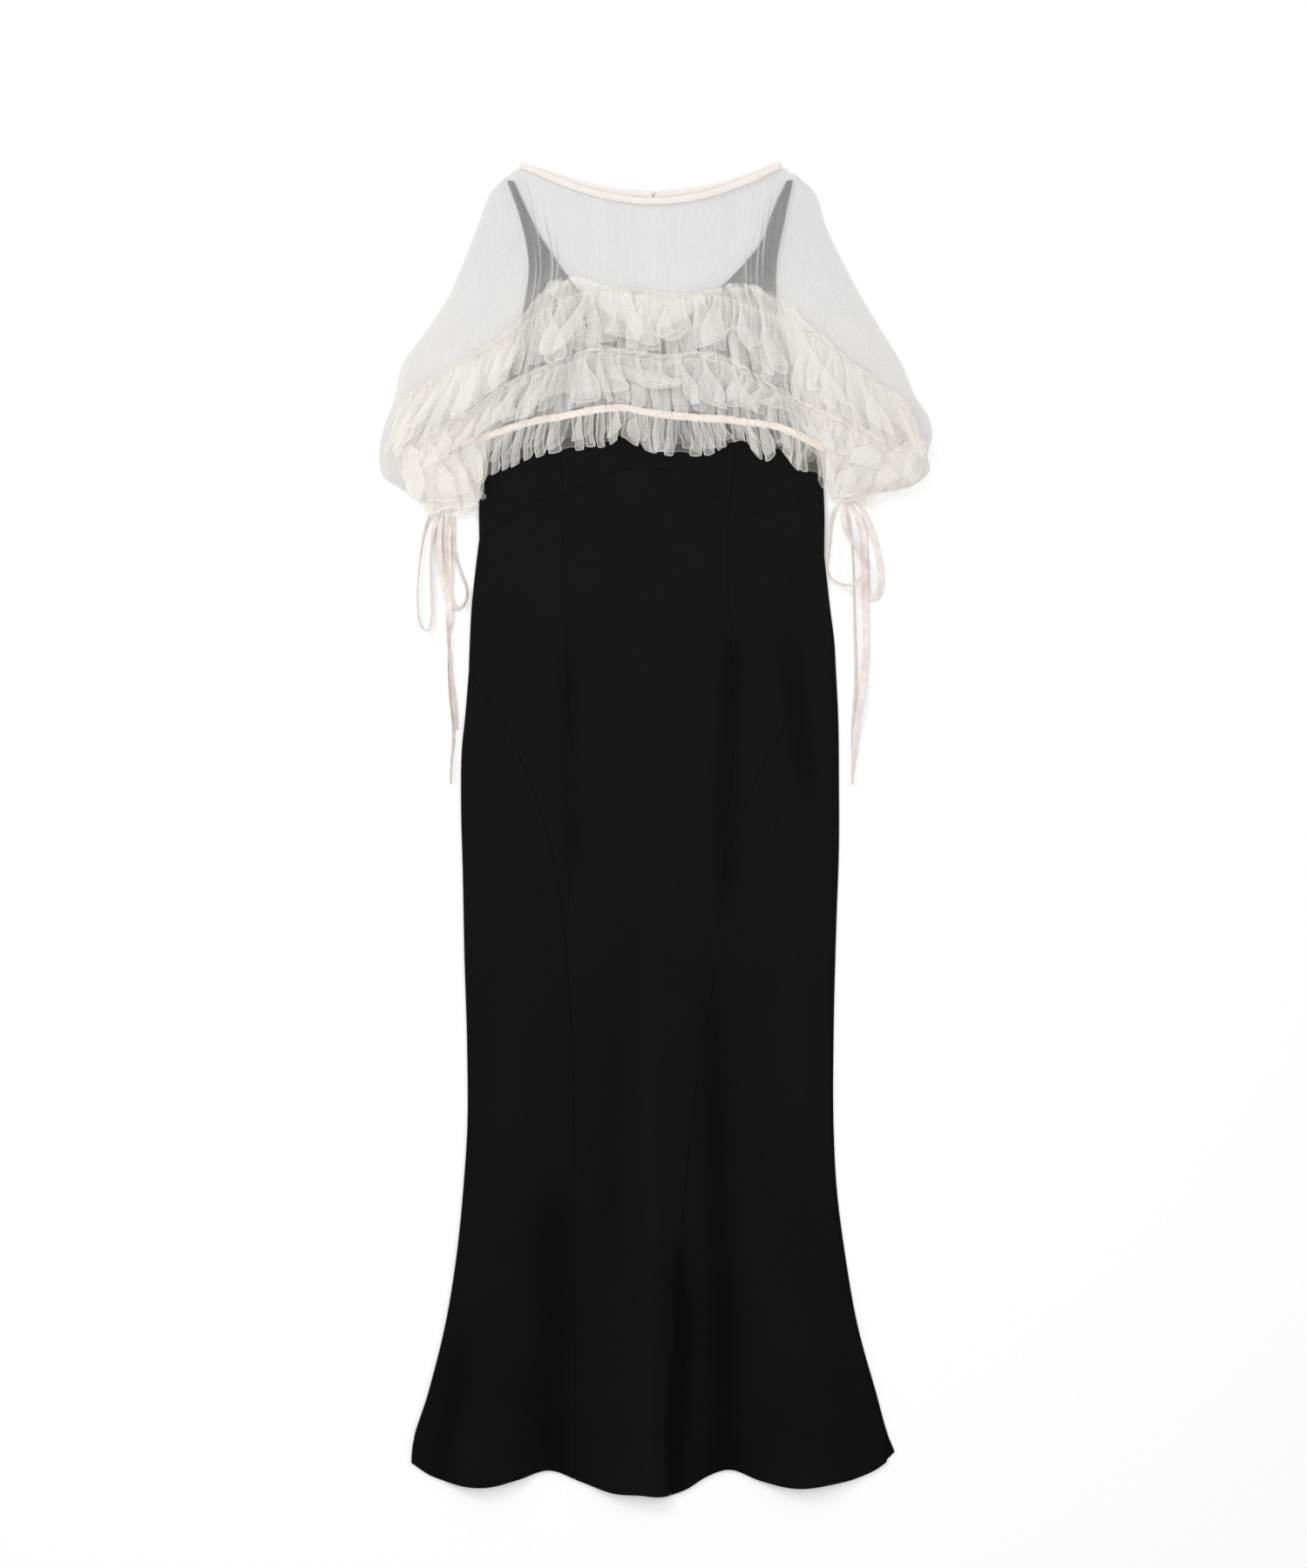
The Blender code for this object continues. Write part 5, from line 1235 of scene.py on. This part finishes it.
def hem_tape(material):
    """The narrow tape over the join of the hem ruffle, slightly puckered by its stitching."""
    line, at, normal = paced(HEM_TIER, np.linspace(0, 1, 420))
    rows, heights = [], []
    for part in (1.0, 0.88, 0.66, 0.4, 0.18, 0.04):
        shift = TAPE_ABOVE - TAPE_WIDTH * part - 0.5 * noise(at / 6, part * 3, 81)
        rows.append(line + normal * shift[:, None])
        arch = 0.5 * np.sin(np.pi * part) + 0.35 * np.sin(at / 1.3 + 4 * part)
        heights.append(cape_top(rows[-1][:, 0], rows[-1][:, 1]) + 1.6 + arch)
    shell("hem_tape_strip", np.array(rows), np.array(heights), TAPE_DRAWN, material, "hem_tape")


def binding(name, node, neck, top, material):
    """A bias strip folded over a neck edge, plump in the middle and stitched near its lower edge."""
    upper, at, normal = paced(neck, np.linspace(0, 1, 220))
    rows, heights = [], []
    for part in (0.02, 0.06, 0.16, 0.34, 0.55, 0.7, 0.76, 0.82, 0.92, 0.98):
        rows.append(upper + BINDING_WIDTH * part * normal)
        plump = 0.75 * np.sin(np.pi * part) ** 0.5 - 0.75
        stitched = -0.35 * np.exp(-((part - 0.76) / 0.05) ** 2)
        heights.append(top + plump + stitched + 0.12 * noise(at / 5, part * 4, 91))
    shell(name, np.array(rows), np.array(heights), BINDING_DRAWN, material, node)


def hook(material):
    """A small wire hook and eye lying on the back binding."""
    across, down, tall = HOOK
    height = BINDING + GAP + tall / 2
    curve = bpy.data.curves.new("neck_hook_wire", "CURVE")
    curve.dimensions = "3D"
    curve.bevel_depth = WIRE_RADIUS * MM
    curve.bevel_resolution = 2
    for rows in (EYE_WIRE, HOOK_WIRE):
        spline = curve.splines.new("NURBS")
        spline.points.add(len(rows) - 1)
        spline.use_endpoint_u = True
        spline.order_u = 3
        for point, (x, y) in zip(spline.points, rows):
            point.co = (*placed((across + x, down + y, height)), 1)
    finished("neck_hook_wire", curve, material, ["neck_hook"])


def ribbon(name, node, rows, loop, material):
    """A flat satin ribbon along its route, pinched where it leaves the knot and tilted as it lies."""
    points = route(rows, np.linspace(0, 1, 90))
    path = points[:, :2]
    lengths = np.append(0, np.cumsum(np.hypot(*np.diff(path, axis=0).T)))
    from_knot = np.minimum(lengths, lengths[-1] - lengths) if loop else lengths
    width = RIBBON_PINCH + (RIBBON_WIDTH - RIBBON_PINCH) * ramp(from_knot, 0, RIBBON_OPENS)
    tilt = np.radians(points[:, 3] + 5 * noise(lengths / 30, 0.5, len(name)))
    across = sideways(path)
    flat = np.column_stack([across * np.cos(tilt)[:, None], np.sin(tilt)])
    up = np.column_stack([-across * np.sin(tilt)[:, None], np.cos(tilt)])
    centre = np.column_stack([path, points[:, 2] + np.abs(flat[:, 2]) * width / 2 + 0.5])
    rings = [centre + flat * (side * width / 2)[:, None] + up * rise for side, rise in RIBBON_PROFILE]
    surface = placed(np.array(rings))
    faces = quads(*surface.shape[:2])[:, ::-1]
    mesh = mesh_of(name, surface, faces, laid_open(surface)[:, :, ::-1], {})
    piece = finished(name, mesh, material, [node])


def knot(name, node, size, material):
    """A small tight knot: two turns of the ribbon wrapped round the others."""
    across, down, wide, long, tall = size
    around = np.linspace(0, 2 * np.pi, 41)
    rings = []
    for side in np.linspace(-1, 1, 25):
        round_off = max((1 - abs(side) ** 3) ** 0.5, 0.02) * (1 + 0.07 * np.sin(side * 9))
        x = np.full(around.shape, across + side * wide / 2)
        y = down + np.cos(around) * long / 2 * round_off + 0.5 * side
        z = tall / 2 + np.sin(around) * tall / 2 * round_off
        rings.append(np.column_stack([x, y, z]))
    tube(name, rings, material, [node])


def ties(material):
    """The two knots and the four ribbons of each tie."""
    for side, routes, size in (("left", TIES_LEFT, KNOT_LEFT), ("right", TIES_RIGHT, KNOT_RIGHT)):
        knot(f"knot_{side}", f"tie_{side}_knot", size, material)
        for part, rows in routes.items():
            loop = part.startswith("loop")
            ribbon(f"ribbon_{side}_{part}", f"tie_{side}_{part}", rows, loop, material)


# Laid-out cut of the single pieces of cloth, in metres: piece, width, length, flat area where it isn't
# a rectangle, how it is held
PANELS = [
    ("crepe_front_centre", 0.210, 1.180, 0.181, "laid"),
    ("crepe_flare_left", 0.260, 0.940, 0.111, "laid"),
    ("crepe_flare_right", 0.280, 0.960, 0.142, "laid"),
    ("crepe_hip_left", 0.120, 0.520, 0.033, "laid"),
    ("crepe_hip_right", 0.125, 0.430, 0.0284, "laid"),
    ("crepe_bodice_left", 0.120, 0.420, 0.021, "laid"),
    ("crepe_bodice_right", 0.130, 0.440, 0.0255, "laid"),
    ("crepe_bodice_centre", 0.200, 0.270, 0.0387, "laid"),
    ("crepe_bodice_back_left", 0.200, 0.490, 0.052, "laid"),
    ("crepe_bodice_back_right", 0.200, 0.485, 0.0535, "laid"),
    ("crepe_back_left", 0.290, 1.095, 0.243, "laid"),
    ("crepe_back_right", 0.290, 1.095, 0.234, "laid"),
    ("net_front", 0.540, 0.340, 0.105, "gathered"),
    ("net_back_left", 0.205, 0.340, 0.049, "laid"),
    ("net_back_right", 0.200, 0.340, 0.048, "laid"),
    ("net_sleeve_left", 0.175, 0.390, 0.038, "gathered"),
    ("net_sleeve_left_under", 0.175, 0.390, 0.037, "gathered"),
    ("net_sleeve_right", 0.185, 0.390, 0.040, "gathered"),
    ("net_sleeve_right_under", 0.185, 0.390, 0.039, "gathered"),
]
# Width and length of each ply of the gathered strips, in metres
STRIPS = {
    "ruffle_top": [(1.375, 0.085), (1.480, 0.076), (1.420, 0.070)],
    "ruffle_middle": [(1.235, 0.057), (1.340, 0.050), (1.400, 0.049)],
    "ruffle_hem": [(0.970, 0.037), (0.885, 0.028)],
    "cuff_frill_left": [(0.150, 0.018), (0.145, 0.018)],
    "cuff_frill_right": [(0.107, 0.010), (0.108, 0.012)],
    "sleeve_end_left": [(0.220, 0.063), (0.205, 0.056), (0.235, 0.044)],
    "sleeve_end_right": [(0.280, 0.046), (0.290, 0.048), (0.290, 0.036)],
}
# Length of each narrow strip, and the width that all are given, in metres
NARROW = {"bias_front": 0.316, "bias_back_left": 0.158, "bias_back_right": 0.150, "hem_tape_strip": 0.442}
NARROW_WIDTH = 0.010


def declare_sheets():
    """The flat cut of every piece of cloth."""
    sheets = list(PANELS)
    for name, plies in STRIPS.items():
        sheets += [(f"{name}_ply_{n}", *size, None, "gathered") for n, size in enumerate(plies, 1)]
    sheets += [(name, length, NARROW_WIDTH, None, "stretched") for name, length in NARROW.items()]


def in_scene(name, data):
    """A new object with this data, in the scene."""
    made = bpy.data.objects.new(name, data)
    bpy.context.scene.collection.objects.link(made)
    return made


def stage():
    """A pale floor, a large soft light overhead and a smaller one from the upper left."""
    mesh = bpy.data.meshes.new("floor")
    corners = [(-1, -1), (1, -1), (1, 1), (-1, 1)]
    mesh.from_pydata([(FLOOR_HALF * x, FLOOR_HALF * y, FLOOR_LEVEL) for x, y in corners], [], [(0, 1, 2, 3)])
    nodes = Nodes("pale_floor", 0.9, 0.1)
    nodes.surface.inputs["Base Color"].default_value = FLOOR_COLOUR
    mesh.materials.append(nodes.material)
    in_scene("floor", mesh)
    for name, size, power, place in LAMPS:
        light = bpy.data.lights.new(name, "AREA")
        light.size = size
        light.energy = power
        lamp = in_scene(name, light)
        lamp.location = place
        across, up, height = place
        tilt = float(np.arctan2(np.hypot(across, up), height))
        lamp.rotation_euler = (tilt, 0, float(np.arctan2(up, across) + np.pi / 2))
    world = bpy.data.worlds.new("studio")
    world.use_nodes = True
    background = world.node_tree.nodes["Background"]
    background.inputs["Color"].default_value = (1, 1, 1, 1)
    background.inputs["Strength"].default_value = WORLD_STRENGTH
    bpy.context.scene.world = world


def camera():
    """Straight down on the middle of the photo's view."""
    data = bpy.data.cameras.new("camera")
    data.lens = CAMERA_LENS
    data.sensor_width = CAMERA_SENSOR
    view = in_scene("camera", data)
    view.location = (*CAMERA_OVER, CAMERA_LENS / CAMERA_SENSOR * CAMERA_SEES)
    bpy.context.scene.camera = view


def main():
    thread = trim_material(*THREAD_LOOK)
    bias = trim_material(*BINDING_LOOK)
    camera()
    ties(trim_material(*RIBBON_LOOK))
    crepe = crepe_material()
    sheath_front(crepe)
    sheath_back(crepe)
    tulle = net_material(SLEEVE_NET)
    tulle_front(tulle)
    tulle_backs(tulle)
    sleeves(tulle)
    ruffles(net_material(RUFFLE_NET))
    gather_thread("thread_top", TOP_TIER, 83, thread)
    gather_thread("thread_middle", MIDDLE_TIER, 87, thread)
    hem_tape(trim_material(*TAPE_LOOK))
    binding("bias_front", "neck_binding_front", NECK_FRONT, LEVEL + 0.1, bias)
    binding("bias_back_left", "neck_binding_back_left", NECK_BACK_LEFT, BINDING, bias)
    binding("bias_back_right", "neck_binding_back_right", NECK_BACK_RIGHT, BINDING, bias)
    hook(metal_material())
    stage()
    declare_sheets()
    bpy.context.scene.cycles.transparent_max_bounces = 64
    bpy.context.scene.view_settings.view_transform = "Standard"


main()
